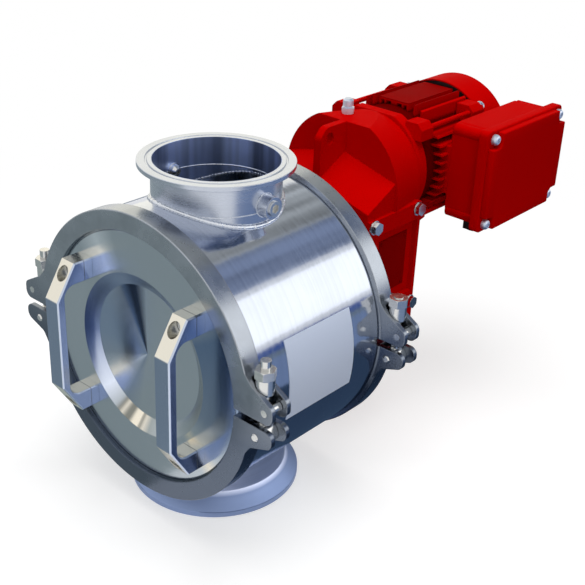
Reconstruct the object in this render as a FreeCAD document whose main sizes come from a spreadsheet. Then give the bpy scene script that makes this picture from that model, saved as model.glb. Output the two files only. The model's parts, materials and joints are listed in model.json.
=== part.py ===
"""Rotary airlock valve with clamp-ring covers, gear unit and motor.

Millimetres. Origin at the centre of the outlet ferrule's lower face. Z points up, Y runs along the rotor
from the front cover (-Y) to the motor (+Y), X to the side that carries the terminal box.
"""
import FreeCAD, Part
import math
import os
import re
import Sketcher

# Name, value and meaning of every driving size. Heights are above the rotor axis unless they say otherwise.
SIZES = (
    ("axis_height", 182.0, "outlet face to rotor axis"),
    ("motor_rise", 112.0, "rotor axis to motor axis"),
    ("lay_rise", 67.0, "rotor axis to layshaft"),
    ("fit_gap", 0.05, "radial gap of a push or running fit"),
    ("loose_gap", 0.25, "radial gap of a clearance hole"),
    ("weld_gap", 0.1, "gap at a saddle joint"),
    ("edge_round", 1.5, "rounded edge of machined discs"),
    ("edge_break", 0.6, "small chamfer of turned edges"),
    ("over_cut", 1.0, "how far a cut or a fused piece runs past a face"),
    ("m6_share", 0.75, "M6 screws against M8 screws"),
    ("m12_share", 1.5, "M12 screw against M8 screws"),
    ("bore_radius", 115.0, "rotor chamber"),
    ("housing_radius", 146.4, "outside of the housing"),
    ("housing_half_length", 85.3, "half length at full radius"),
    ("end_neck_radius", 124.0, "neck behind each cover flange"),
    ("joint_offset", 96.5, "rotor centre to the middle of each cover joint"),
    ("gasket_thickness", 1.5, "cover gasket"),
    ("gasket_inner", 117.0, "inner radius of the cover gasket"),
    ("ferrule_radius", 134.0, "cover and housing flange"),
    ("ferrule_rim", 2.9, "flange thickness at its rim"),
    ("ferrule_angle", 20.0, "taper of the flanges, degrees"),
    ("rotor_gap", 0.3, "rotor tip and cover spigot to chamber wall"),
    ("chamber_half", 86.0, "rotor centre to each cover's inner face"),
    ("cover_face", 102.5, "rotor centre to a cover's outer face"),
    ("cover_disc", 129.0, "raised disc of each cover"),
    ("dish_rim", 86.75, "edge of the front cover's dish"),
    ("dish_floor", 72.5, "floor radius of the dish"),
    ("dish_depth", 8.5, "depth of the dish"),
    ("inlet_bore", 62.5, "inlet passage"),
    ("outlet_bore", 75.0, "outlet passage"),
    ("spout_wall", 2.0, "wall of both spout necks"),
    ("inlet_reach", 180.0, "rotor axis to the inlet face"),
    ("inlet_ferrule", 77.5, "inlet flange radius"),
    ("inlet_rim", 4.6, "inlet flange thickness at its rim"),
    ("outlet_ferrule", 91.5, "outlet flange radius"),
    ("outlet_rim", 5.6, "outlet flange thickness at its rim"),
    ("outlet_hub", 22.0, "height of the outlet flange with its cone"),
    ("groove_inner", 67.0, "seal groove in the inlet face"),
    ("groove_width", 2.6, "width of the seal groove"),
    ("groove_depth", 1.4, "depth of the seal groove"),
    ("socket_rise", 150.5, "rotor axis to the spray sockets"),
    ("socket_reach", 76.0, "spout axis to the end of a socket"),
    ("socket_radius", 11.0, "outside of a socket"),
    ("plug_radius", 7.5, "plug and nozzle body"),
    ("plug_proud", 2.0, "plug head beyond its socket"),
    ("plug_key", 8.0, "hexagon across flats in the plug"),
    ("plug_key_depth", 5.0, "depth of the plug's hexagon"),
    ("nozzle_reach", 8.5, "spray dome inside the passage"),
    ("nozzle_dome", 7.0, "radius of the spray dome"),
    ("nozzle_hole", 1.4, "radius of the spray holes"),
    ("ring_outer", 150.7, "outside of the clamp rings"),
    ("ring_front", 10.7, "ring beyond the joint plane, outer side"),
    ("ring_back", 10.5, "ring beyond the joint plane, inner side"),
    ("ring_mouth", 131.1, "opening of the ring's outer flange"),
    ("ring_throat", 125.0, "opening of the ring's inner flange"),
    ("ring_taper", 7.1, "slope on the ring's inner outer-edge"),
    ("ring_slack", 0.25, "ring to flange"),
    ("split_half", 4.0, "half gap between ring halves"),
    ("fork_width", 24.5, "width of a forked ear"),
    ("fork_plate", 5.0, "one plate of a fork"),
    ("fork_setback", 9.3, "rear ring's ears behind the joint plane"),
    ("bolt_overhang", 6.8, "ring outside to the eye bolt"),
    ("tip_overhang", 27.0, "ring outside to the ear's tip"),
    ("upper_tip_height", 17.5, "height of the upper ear at its tip"),
    ("upper_root", 46.0, "top of the upper ear at the ring"),
    ("lower_tip_height", 15.5, "height of the lower ear at its tip"),
    ("lower_root", 49.0, "foot of the lower ear at the ring"),
    ("ear_shoulder", 1.0, "ring outside to the shoulder of an ear"),
    ("upper_shoulder", 36.0, "height of the upper ear's shoulder"),
    ("lower_shoulder", 29.0, "drop of the lower ear's shoulder"),
    ("upper_inset", 8.0, "ring outside to the top of the upper ear"),
    ("lower_inset", 12.0, "ring outside to the foot of the lower ear"),
    ("slot_inset", 5.0, "slot of the ears inside the ring's outside"),
    ("slot_rise", 41.0, "top of the slot in an upper ear"),
    ("slot_drop", 30.0, "foot of the slot in a lower ear"),
    ("ear_round", 8.0, "rounding of the ear tips"),
    ("seat_height", 27.5, "seat of the sleeve nuts"),
    ("seat_radius", 9.5, "spot face under the sleeve nuts"),
    ("pin_radius", 4.0, "hinge pins of the clamp rings"),
    ("pin_drop", 15.5, "hinge pins below the rotor axis"),
    ("pin_proud", 1.2, "pin ends beyond the plates"),
    ("cross_rise", 14.4, "cross pins above the rotor axis"),
    ("cross_overhang", 16.8, "ring outside to the cross pins"),
    ("cross_radius", 3.5, "cross pins"),
    ("roller_radius", 5.0, "roller on a cross pin"),
    ("eye_radius", 11.0, "eye of the eye bolt"),
    ("eye_width", 14.0, "thickness of the eye"),
    ("shank_radius", 5.0, "shank of the eye bolt"),
    ("front_shank_top", 60.5, "top of the front eye bolts"),
    ("rear_shank_top", 52.5, "top of the rear eye bolts"),
    ("sleeve_radius", 9.0, "sleeve of a sleeve nut"),
    ("sleeve_length", 15.0, "sleeve below the hexagon"),
    ("nut_flats", 18.0, "sleeve nut across flats"),
    ("nut_height", 9.0, "height of the hexagon"),
    ("nut_chamfer", 0.6, "chamfer of the hexagon"),
    ("handle_offset", 79.0, "cover centre to each handle"),
    ("handle_width", 20.5, "width of a handle"),
    ("handle_half", 84.0, "half height over the feet"),
    ("foot_height", 22.5, "height of a handle's foot"),
    ("handle_reach", 44.0, "cover face to the handle's front"),
    ("handle_leg", 21.5, "cover face to the start of the slope"),
    ("handle_grip", 48.5, "half height of the handle's front"),
    ("handle_thickness", 9.5, "thickness of the grip"),
    ("handle_inside", 12.0, "inside corners of the handle"),
    ("handle_edge", 1.4, "chamfer along the handle"),
    ("screw_inset", 11.25, "handle end to its screw"),
    ("screw_radius", 4.0, "M8 shanks"),
    ("screw_head", 6.5, "M8 cap heads"),
    ("screw_head_height", 8.0, "height of an M8 cap head"),
    ("screw_key", 6.0, "hexagon in an M8 cap head"),
    ("screw_grip", 10.0, "material under a handle screw's head"),
    ("screw_bite", 5.0, "thread in the cover"),
    ("vanes", 8, "vanes of the rotor"),
    ("vane_thickness", 6.0, "thickness of a vane"),
    ("rotor_side_gap", 0.5, "rotor to each cover"),
    ("hub_radius", 32.0, "hub of the rotor"),
    ("shaft_radius", 17.5, "rotor shaft"),
    ("shaft_front", -58.0, "front end of the shaft along Y"),
    ("key_width", 10.0, "keys of the rotor shaft"),
    ("key_height", 8.0, "height of the keys"),
    ("key_length", 60.0, "length of the keys"),
    ("shaft_setback", 2.0, "rear end of the shaft inside the gear unit"),
    ("end_thread", 25.0, "threads in the shaft's ends"),
    ("washer_radius", 24.0, "rotor retaining washer"),
    ("washer_thickness", 5.0, "its thickness"),
    ("counterbore_radius", 27.0, "pocket for the washer in the hub"),
    ("holder_flange", 64.0, "flange radius of the bearing housing"),
    ("holder_flange_thickness", 9.0, "its thickness"),
    ("holder_body", 46.0, "barrel of the bearing housing"),
    ("holder_bolts", 54.0, "bolt circle radius of both its flanges"),
    ("bearing_radius", 36.0, "shaft bearings, outside"),
    ("bearing_width", 17.0, "shaft bearings, width"),
    ("bearing_shoulder", 3.5, "shoulder in front of the bearings"),
    ("spacer_width", 3.0, "spacer between the shaft bearings"),
    ("seal_radius", 26.0, "shaft lip seal"),
    ("seal_width", 8.0, "its width"),
    ("seal_shell", 3.0, "rubber round the lip seal"),
    ("lip_gap", 2.0, "rear cover's bore round the shaft"),
    ("thread_floor", 3.0, "metal left under a blind thread"),
    ("mouth_gap", 6.0, "bearing housing's front bore round the shaft"),
    ("cover_bite", 10.0, "thread of the bearing housing's screws in the rear cover"),
    ("spacer_wall", 4.0, "wall of the bearing spacers"),
    ("unit_front", 148.0, "front of the gear unit along Y"),
    ("unit_rear", 241.0, "rear of the lower gear case along Y"),
    ("case_half_width", 80.0, "half width over the side pads"),
    ("case_top", 92.0, "top of the side pads"),
    ("case_bottom", -72.0, "underside of the gear case"),
    ("case_wall", 8.0, "wall of the gear case"),
    ("roof_half_width", 76.0, "half width of the sloped roof"),
    ("roof_ridge", 142.5, "ridge of the roof at the drum face"),
    ("roof_fall", 0.26, "sideways slope of the roof"),
    ("roof_pitch", 0.5, "forward slope of the roof"),
    ("drum_face", 193.6, "face of the drum along Y"),
    ("drum_rear", 248.0, "motor joint along Y"),
    ("drum_radius", 80.0, "drum at its face"),
    ("drum_rear_radius", 71.0, "drum at the motor"),
    ("drum_rise", 104.0, "rotor axis to the drum's axis"),
    ("drum_top", 175.5, "flat top of the drum"),
    ("drum_cavity", 60.0, "inside radius of the drum"),
    ("drum_wall", 6.4, "front wall of the drum"),
    ("rib_thickness", 9.0, "central rib"),
    ("rib_front", 151.0, "front of the rib along Y"),
    ("rib_slope", 10.0, "slanted front corner of the rib"),
    ("rib_hole", 6.5, "lifting hole in the rib"),
    ("rib_hole_y", 166.0, "its place along Y"),
    ("rib_hole_rise", 162.0, "its height"),
    ("panel_depth", 6.0, "recess of the nameplate panel"),
    ("panel_front", 164.0, "front of the panel along Y"),
    ("panel_rear", 236.0, "rear of the panel along Y"),
    ("panel_top", 72.0, "top of the panel"),
    ("panel_bottom", -17.0, "bottom of the panel"),
    ("cavity_half", 64.0, "half width inside the gear case"),
    ("cavity_top", 96.0, "top of the main cavity"),
    ("front_plate_inset", 70.0, "half width of the gear case front plate"),
    ("plate_thickness", 8.0, "front plate of the gear case"),
    ("plate_seat", 2.0, "step on which the front plate lies"),
    ("side_bolt_rise", 85.3, "upper side bolts"),
    ("side_bolt_drop", 30.2, "lower side bolts below the axis"),
    ("side_bolt_front", 155.5, "front side bolts along Y"),
    ("side_bolt_rear", 233.7, "rear side bolts along Y"),
    ("side_bolt_flats", 13.0, "side bolts across flats"),
    ("side_bolt_head", 5.3, "height of their heads"),
    ("side_bolt_length", 9.0, "thread of the side bolts"),
    ("side_washer", 8.0, "their washers"),
    ("side_washer_thickness", 1.6, "thickness of the washers"),
    ("nameplate_length", 50.0, "nameplate along Y"),
    ("nameplate_height", 66.0, "height of the nameplate"),
    ("nameplate_thickness", 0.8, "its thickness"),
    ("rivet_radius", 2.0, "nameplate rivets"),
    ("rivet_stem", 1.2, "their stems"),
    ("rivet_inset", 4.0, "edge of the nameplate to a rivet"),
    ("breather_x", -14.0, "breather plug"),
    ("breather_y", 218.0, "breather plug along Y"),
    ("breather_flats", 13.0, "its hexagon"),
    ("breather_height", 17.0, "its height above the drum"),
    ("breather_bite", 8.0, "its thread"),
    ("breather_collar", 2.0, "its collar and the step under its cap"),
    ("breather_hex", 5.0, "height of its hexagon"),
    ("hollow_radius", 25.0, "hollow output shaft"),
    ("hollow_inset", 1.0, "hollow shaft inside the gear unit's faces"),
    ("way_out_gap", 5.0, "rear opening round the hollow shaft"),
    ("cap_rim", 2.0, "rim of the output shaft's cap"),
    ("cap_slope", 3.0, "slope of the cap"),
    ("output_teeth", 56, "output gear"),
    ("pinion_teeth", 11, "layshaft pinion"),
    ("output_module", 2.0, "module of the output stage"),
    ("output_gear_y", 168.0, "front of the output gear along Y"),
    ("output_gear_width", 22.0, "its width"),
    ("lay_teeth", 50, "layshaft gear"),
    ("motor_teeth", 10, "motor pinion"),
    ("input_module", 1.5, "module of the input stage"),
    ("lay_gear_y", 202.0, "front of the layshaft gear along Y"),
    ("lay_gear_width", 11.0, "its width"),
    ("pinion_over", 1.0, "motor pinion beyond the layshaft gear, each side"),
    ("gear_clear", 2.0, "front bearings to the output gear"),
    ("lay_inset", 4.0, "rear layshaft bearing to the rear wall"),
    ("output_inset", 2.0, "rear output bearing to the rear wall"),
    ("lay_radius", 8.5, "layshaft"),
    ("lay_bearing_radius", 20.0, "layshaft and motor bearings"),
    ("lay_bearing_width", 12.0, "their width"),
    ("output_bearing_radius", 40.0, "output bearings"),
    ("output_bearing_width", 16.0, "their width"),
    ("boss_wall", 6.0, "wall of the bearing bosses"),
    ("motor_shaft_radius", 8.5, "motor shaft"),
    ("motor_nose", 4.2, "motor shaft under its pinion"),
    ("nose_gap", 0.5, "drum wall to the motor shaft"),
    ("nose_shoulder", 3.0, "layshaft gear to the motor shaft's shoulder"),
    ("tail_reach", 4.0, "motor shaft beyond the fan"),
    ("motor_spigot", 24.0, "centring spigot of the motor"),
    ("shield_radius", 69.0, "drive end shield"),
    ("shield_top", 63.0, "flat top and foot of the drive end shield from the motor axis"),
    ("drive_shield_length", 14.0, "drive end shield"),
    ("rear_shield_length", 13.7, "rear end shield"),
    ("stator_length", 103.0, "finned stator housing"),
    ("stator_core_radius", 62.0, "stator housing between the fins"),
    ("stator_bore", 58.0, "inside of the stator housing"),
    ("fin_reach", 72.5, "motor axis to the fin tips"),
    ("fin_circle", 74.5, "circle over the fin tips"),
    ("fin_pitch", 9.7, "fin spacing"),
    ("fin_thickness", 2.4, "fin thickness"),
    ("fin_pairs", 4, "fins each side of the middle, level and upright"),
    ("fin_setback", 22.5, "fins behind the drive end shield"),
    ("fin_overhang", 8.0, "fins over the rear end shield"),
    ("top_pad_depth", 3.0, "flat pad across the top fins"),
    ("pad_rib_half", 4.2, "half width of the rib under its middle"),
    ("pad_rib_place", 12.3, "thin ribs under the pad from its middle"),
    ("top_trim", 4.0, "fins lower on top and below than at the sides"),
    ("rod_circle", 78.0, "circle radius of the tie rods"),
    ("rod_angle", 42, "tie rods above and below the level, in degrees"),
    ("rod_radius", 3.0, "tie rods"),
    ("ear_root", 41.2, "inner sides of the end shields' ears from the motor axis"),
    ("ear_side", 64.0, "their outer sides"),
    ("ear_top", 60.5, "their tops and feet"),
    ("ear_circle", 83.5, "circle over their corners"),
    ("lug_length", 12.0, "ears beyond the end shields"),
    ("lug_setback", 4.0, "ears inside the end shields' outer edges"),
    ("lug_room", 1.0, "ears clear of the stator housing"),
    ("rod_floor", 2.0, "metal under the tie rods' threads"),
    ("rod_head_flats", 10.0, "tie rod heads across flats"),
    ("rod_head_height", 3.6, "height of their heads"),
    ("shield_floor", 1.0, "drive end shield in front of its bearing"),
    ("rear_relief", 0.5, "rear end shield in front of its bearing"),
    ("shaft_clear", 1.0, "end shields' bores round the motor shaft"),
    ("core_gap", 0.5, "air gap of the motor"),
    ("rotor_core_radius", 33.0, "motor rotor"),
    ("core_length", 60.0, "motor rotor and stator core"),
    ("winding_length", 14.0, "winding heads"),
    ("winding_gap", 3.0, "winding heads inside the core's walls"),
    ("fan_radius", 57.0, "fan"),
    ("fan_blades", 7, "fan blades"),
    ("fan_width", 24.0, "fan along Y"),
    ("fan_inset", 6.0, "rear end shield to the fan"),
    ("fan_hub_wall", 6.0, "wall of the fan's hub"),
    ("fan_disc_inset", 8.0, "fan disc inside the blades' tips"),
    ("fan_sheet", 2.5, "thickness of the fan's disc and blades"),
    ("cowl_radius", 73.4, "fan cover"),
    ("cowl_wall", 1.6, "wall of the fan cover"),
    ("cowl_length", 50.3, "length of the fan cover"),
    ("cowl_round", 6.0, "rounded rear edge of the fan cover"),
    ("cowl_lip", 12.0, "fan cover over the posts that hold it"),
    ("cowl_post", 6.0, "radius of the posts, and length of the screws in them"),
    ("cowl_screw", 2.4, "fan cover screws"),
    ("cowl_screw_inset", 6.0, "edge of the fan cover to its screws"),
    ("cowl_head", 4.5, "heads of the fan cover screws"),
    ("cowl_head_height", 2.4, "their height"),
    ("grille_hole", 3.0, "air holes"),
    ("grille_pitch", 10.8, "distance between the rings of air holes"),
    ("box_inner", 75.0, "motor axis to the back of the terminal box"),
    ("box_depth", 40.0, "terminal box base"),
    ("box_middle", 368.0, "middle of the terminal box along Y"),
    ("box_half_length", 71.0, "half length of the base"),
    ("box_half_height", 56.0, "half height of the base"),
    ("box_corner", 14.0, "corners of the base"),
    ("box_wall", 5.0, "wall of the base"),
    ("post_radius", 7.6, "screw posts of the base and the lid"),
    ("post_thread", 14.0, "threads in the posts"),
    ("wire_hole", 8.0, "wire passage to the motor"),
    ("wire_inset", 30.0, "front end of the box to the wire passage"),
    ("lid_depth", 14.0, "terminal box lid"),
    ("lid_half_length", 80.5, "half length of the lid"),
    ("lid_half_height", 58.0, "half height of the lid"),
    ("lid_corner", 10.0, "corners of the lid"),
    ("lid_recess", 9.0, "hollow inside the lid"),
    ("lid_sink", 5.0, "lid screws' seats below the lid's face"),
    ("crest_half_length", 44.0, "half length of the lid's raised panel"),
    ("crest_half_height", 32.0, "half height of the raised panel"),
    ("crest_height", 0.8, "its height"),
    ("lid_screw_y", 64.5, "lid screws from the middle, along Y"),
    ("lid_screw_z", 48.0, "lid screws from the middle, in height"),
    ("block_half_length", 28.0, "half length of the terminal block"),
    ("block_half_height", 18.0, "half height of the terminal block"),
    ("block_depth", 12.0, "its depth"),
    ("stud_pitch", 18.0, "terminal studs along Y"),
    ("stud_rise", 9.0, "terminal studs from the middle"),
    ("stud_radius", 2.0, "terminal studs"),
    ("stud_length", 8.0, "their length"),
    ("stud_flats", 7.0, "their nuts across flats"),
    ("stud_nut", 3.2, "height of the nuts"),
    ("gland_radius", 10.5, "cable gland"),
    ("gland_stem", 8.5, "thread of the gland"),
    ("gland_flats", 24.0, "its hexagon"),
    ("gland_length", 20.0, "gland below the box"),
    ("label_front", -49.0, "label on the housing, front edge along Y"),
    ("label_rear", 45.5, "rear edge along Y"),
    ("label_low", -12.0, "lower edge round the housing, degrees"),
    ("label_high", 21.0, "upper edge, degrees"),
    ("label_thickness", 0.3, "label"),
)

doc = FreeCAD.newDocument("rotary_airlock_valve")
sheet = doc.addObject("Spreadsheet::Sheet", "Sizes")
for row, (alias, value, meaning) in enumerate(SIZES, start=1):
    sheet.set("A%d" % row, meaning)
    sheet.set("B%d" % row, str(value))
    sheet.setAlias("B%d" % row, alias)
doc.recompute()

ALIASES = re.compile(r"\b(" + "|".join(sorted((size[0] for size in SIZES), key=len, reverse=True)) + r")\b")
PLANES = {"XY": ("XY_Plane", 1), "XZ": ("XZ_Plane", -1), "YZ": ("YZ_Plane", 1)}
SIDES = (-1, 1)
AXES = {"x": 0, "y": 1, "z": 2}
TURNS = {
    "z": FreeCAD.Rotation(),
    "-z": FreeCAD.Rotation(FreeCAD.Vector(1, 0, 0), 180),
    "y": FreeCAD.Rotation(FreeCAD.Vector(1, 0, 0), -90),
    "-y": FreeCAD.Rotation(FreeCAD.Vector(1, 0, 0), 90),
    "x": FreeCAD.Rotation(FreeCAD.Vector(0, 1, 0), 90),
    "-x": FreeCAD.Rotation(FreeCAD.Vector(0, 1, 0), -90),
}
nodes = []
bearings = {}


def bound(text):
    """The expression with every size name pointing at the sheet."""
    return ALIASES.sub(lambda found: "Sizes." + found.group(0), text)


def number(text):
    """The value of an expression of sizes."""
    return float(sheet.evalExpression(bound(text)))


def place(thing, x="0", y="0", z="0", turn=TURNS["z"]):
    """Put an object at a point given from the rotor axis above the outlet face."""
    thing.Placement = FreeCAD.Placement(FreeCAD.Vector(), turn)
    thing.setExpression("Placement.Base.x", bound(x))
    thing.setExpression("Placement.Base.y", bound(y))
    thing.setExpression("Placement.Base.z", bound("axis_height + (%s)" % z))
    return thing


def node(thing, label):
    """Name an object as one of the finished pieces."""
    thing.Label = label
    nodes.append(thing)
    return thing


def moved(at, along, distance):
    """The point a distance further along an axis."""
    sign = "-" if along.startswith("-") else "+"
    index = AXES[along[-1]]
    return tuple("%s %s (%s)" % (text, sign, distance) if k == index else text for k, text in enumerate(at))


def reverse(along):
    return along[1:] if along.startswith("-") else "-" + along


def rod(radius, length, at, along="y"):
    """A plain cylinder that starts at a point."""
    thing = doc.addObject("Part::Cylinder", "Rod")
    thing.setExpression("Radius", bound(radius))
    thing.setExpression("Height", bound(length))
    return place(thing, *at, turn=TURNS[along])


def hexagon(flats, length, at, along="y"):
    """A six-sided bar, given across its flats."""
    thing = doc.addObject("Part::Prism", "Hexagon")
    thing.Polygon = 6
    thing.setExpression("Circumradius", bound("%s / 2 / cos(30)" % flats))
    thing.setExpression("Height", bound(length))
    return place(thing, *at, turn=TURNS[along])


def block(low, high):
    """A box between two corners."""
    thing = doc.addObject("Part::Box", "Block")
    for name, a, b in zip(("Length", "Width", "Height"), low, high):
        thing.setExpression(name, bound("(%s) - (%s)" % (b, a)))
    return place(thing, *low)


def ball(radius, at):
    thing = doc.addObject("Part::Sphere", "Ball")
    thing.setExpression("Radius", bound(radius))
    return place(thing, *at)


def radial_rod(radius, length, start, y, height, angle):
    """A cylinder that points away from an axis along Y, at an angle from +X."""
    turn = FreeCAD.Rotation(FreeCAD.Vector(0, 1, 0), 90 - angle)
    thing = doc.addObject("Part::Cylinder", "Rod")
    thing.setExpression("Radius", bound(radius))
    thing.setExpression("Height", bound(length))
    x = "(%s) * cos(%g)" % (start, angle)
    z = "%s + (%s) * sin(%g)" % (height, start, angle)
    return place(thing, x, y, z, turn)


def join(parts):
    thing = doc.addObject("Part::MultiFuse", "Join")
    thing.Shapes = parts
    thing.Refine = True
    return thing


def cut(base, tools):
    thing = doc.addObject("Part::Cut", "Cut")
    thing.Base = base
    thing.Tool = tools[0] if len(tools) == 1 else join(tools)
    return thing


def common(base, tool):
    thing = doc.addObject("Part::Common", "Common")
    thing.Base = base
    thing.Tool = tool
    return thing


def group(parts):
    """Several like pieces in one node, each a solid of its own."""
    thing = doc.addObject("Part::Compound", "Group")
    thing.Links = parts
    return thing


def drawn(body, plane, points, offset="0"):
    """A closed outline of straight lines, every corner bound to its two expressions."""
    role, side = PLANES[plane]
    sketch = body.newObject("Sketcher::SketchObject", "Outline")
    base = next(feature for feature in body.Origin.OriginFeatures if feature.Role == role)
    sketch.AttachmentSupport = [(base, "")]
    sketch.MapMode = "FlatFace"
    sketch.setExpression("AttachmentOffset.Base.z", bound("%d * (%s)" % (side, offset)))
    corners = [FreeCAD.Vector(number(u), number(v), 0) for u, v in points]
    count = len(corners)
    lines = [Part.LineSegment(corner, corners[(k + 1) % count]) for k, corner in enumerate(corners)]
    sketch.addGeometry(lines, False)
    ties = [Sketcher.Constraint("Coincident", k, 2, (k + 1) % count, 1) for k in range(count)]
    sketch.addConstraint(ties)
    for k, pair in enumerate(points):
        for kind, text in zip(("DistanceX", "DistanceY"), pair):
            place_of = sketch.addConstraint(Sketcher.Constraint(kind, -1, 1, k, 1, number(text)))
            sketch.setExpression("Constraints[%d]" % place_of, bound(text))
    return sketch


def turned(profile, along="y", at=("0", "0", "0")):
    """A turned piece: its profile is a list of radius and station along the axis."""
    body = doc.addObject("PartDesign::Body", "Turned")
    plane = "XZ" if along == "z" else "XY"
    points = [(station, radius) for radius, station in profile] if along == "x" else profile
    feature = body.newObject("PartDesign::Revolution", "Revolution")
    sketch = drawn(body, plane, points)
    feature.Profile = sketch
    feature.ReferenceAxis = (sketch, ["H_Axis" if along == "x" else "V_Axis"])
    feature.Angle = 360
    body.Tip = feature
    return place(body, *at)


def prism(plane, points, start, length, at=("0", "0", "0")):
    """A straight extrusion of an outline, along the plane's own axis."""
    body = doc.addObject("PartDesign::Body", "Prism")
    feature = body.newObject("PartDesign::Pad", "Pad")
    feature.Profile = drawn(body, plane, points, start)
    feature.setExpression("Length", bound(length))
    feature.Reversed = PLANES[plane][1] < 0
    body.Tip = feature
    return place(body, *at)


def soften(body, kind, size, chosen):
    """Round or chamfer the edges of a body that a test picks."""
    doc.recompute()
    base = body.Tip
    names = ["Edge%d" % k for k, edge in enumerate(base.Shape.Edges, start=1) if chosen(edge)]
    feature = body.newObject("PartDesign::" + kind, kind)
    feature.Base = (base, names)
    feature.setExpression("Radius" if kind == "Fillet" else "Size", bound(size))
    body.Tip = feature
    return body


def circle_at(*places):
    """A test for round edges about the body's own Y or Z axis, by radius and station."""
    wanted = [(number(radius), axis, number(station)) for radius, axis, station in places]

    def chosen(edge):
        if not isinstance(edge.Curve, Part.Circle):
            return False
        for radius, axis, station in wanted:
            centre = edge.Curve.Center
            where = centre[AXES[axis]]
            if abs(edge.Curve.Radius - radius) < 1e-4 and abs(where - station) < 1e-4:
                return True
        return False

    return chosen


def runs_along(axis, *places):
    """A test for straight edges along an axis, through the given pairs of the other two coordinates."""
    index = AXES[axis]
    others = [k for k in range(3) if k != index]
    wanted = [(number(a), number(b)) for a, b in places]

    def chosen(edge):
        ends = [vertex.Point for vertex in edge.Vertexes]
        if len(ends) != 2 or isinstance(edge.Curve, Part.Circle):
            return False
        pair = [ends[0][k] for k in others]
        straight = all(abs(ends[0][k] - ends[1][k]) < 1e-4 for k in others)
        near = not wanted or any(abs(pair[0] - a) + abs(pair[1] - b) < 1e-3 for a, b in wanted)
        return straight and near

    return chosen


def cap_screw(at, along, length, scale="1"):
    """A socket cap screw; the point lies under its head and the shank runs along the axis."""
    back = reverse(along)
    radius = "screw_radius * " + scale
    head = rod("screw_head * " + scale, "screw_head_height * " + scale, at, back)
    shank = rod(radius, length, at, along)
    top = moved(at, back, "screw_head_height * %s" % scale)
    depth = "screw_head_height * %s / 2" % scale
    return cut(join([head, shank]), [hexagon("screw_key * " + scale, depth, top, along)])


def on_circle(count, radius, angle=0.0):
    """X and height of points round an axis, as expressions."""
    for k in range(count):
        degrees = angle + 360.0 * k / count
        yield "(%s) * cos(%g)" % (radius, degrees), "(%s) * sin(%g)" % (radius, degrees)


def bearing(body_name, inner, outer, width, seats):
    """Ball bearings on shafts along Y; the inner rings are kept by the body that turns in them."""
    ring = "(%s - %s) * 0.27" % (outer, inner)
    inners = bearings.setdefault(body_name, [])
    outers = bearings.setdefault("outer", [])
    balls = bearings.setdefault("balls", [])
    for y, height in seats:
        end = "%s + %s" % (y, width)
        outside = outer + " - fit_gap"
        inside = inner + " + fit_gap"
        track_out = "%s - %s" % (outer, ring)
        track_in = "%s + %s" % (inner, ring)
        outers.append(turned([(track_out, y), (outside, y), (outside, end), (track_out, end)],
                             at=("0", "0", height)))
        inners.append(turned([(inside, y), (track_in, y), (track_in, end), (inside, end)],
                             at=("0", "0", height)))
        size = "(%s - 2 * %s - %s) / 2 - fit_gap" % (outer, ring, inner)
        middle = "%s + %s / 2" % (y, width)
        for x, z in on_circle(8, "(%s + %s) / 2" % (inner, outer)):
            balls.append(ball(size, (x, middle, "%s + %s" % (height, z))))


def bearing_groups():
    node(group(bearings["outer"]), "bearing_outer_rings")
    node(group(bearings["balls"]), "bearing_balls")
    for body_name in ("rotor", "layshaft", "motor"):
        node(group(bearings[body_name]), body_name + "_inner_rings")


def flank(radius, base, pitch, half_tooth):
    """Half the angle that a tooth of involute form takes at a radius."""
    pressure = math.radians(20)
    shape = math.acos(min(1.0, base / max(radius, base)))
    grown = (math.tan(pressure) - pressure) - (math.tan(shape) - shape)
    return half_tooth / pitch + grown


def toothed(module, teeth, y, width, height, bore, phase=0.0):
    """A spur gear about an axis along Y, its teeth thinned for free running."""
    size = number(module)
    count = int(number(teeth))
    pitch = size * count / 2
    base = pitch * math.cos(math.radians(20))
    root = pitch - 1.2 * size
    tip = pitch + 0.8 * size
    half_tooth = 0.4 * math.pi * size / 2
    radii = [root, max(root, base), pitch, tip]
    points = []
    for k in range(count):
        middle = 2 * math.pi * k / count + phase
        left = [(r, middle - flank(r, base, pitch, half_tooth)) for r in radii]
        right = [(r, middle + flank(r, base, pitch, half_tooth)) for r in reversed(radii)]
        points += [FreeCAD.Vector(r * math.cos(a), 0, r * math.sin(a)) for r, a in left + right]
    clean = [point for k, point in enumerate(points) if (point - points[k - 1]).Length > 1e-6]
    face = Part.Face(Part.makePolygon(clean + clean[:1]))
    solid = face.extrude(FreeCAD.Vector(0, number(width), 0))
    hole = Part.makeCylinder(number(bore), number(width), FreeCAD.Vector(), FreeCAD.Vector(0, 1, 0))
    thing = doc.addObject("Part::Feature", "Gear")
    thing.Shape = solid.cut(hole)
    return place(thing, "0", y, height)


def taper(radial):
    """How far a flange's taper falls over a radial distance."""
    return "(%s) * tan(ferrule_angle)" % radial


def valve_housing():
    face = "joint_offset - gasket_thickness / 2"
    rim = face + " - ferrule_rim"
    root = "%s - %s" % (rim, taper("ferrule_radius - end_neck_radius"))
    half = [("bore_radius", face), ("ferrule_radius", face), ("ferrule_radius", rim),
            ("end_neck_radius", root), ("end_neck_radius", "housing_half_length"),
            ("housing_radius", "housing_half_length")]
    mirrored = [(radius, "-(%s)" % y) for radius, y in reversed(half)]
    shell = turned(half + mirrored)
    edges = [("housing_radius", "y", "%d * housing_half_length" % side) for side in SIDES]
    soften(shell, "Fillet", "edge_round", circle_at(*edges))
    inlet = rod("inlet_bore", "housing_radius + edge_round", ("0", "0", "0"), "z")
    outlet = rod("outlet_bore", "housing_radius + edge_round", ("0", "0", "0"), "-z")
    node(cut(shell, [inlet, outlet]), "valve_housing")


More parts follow.
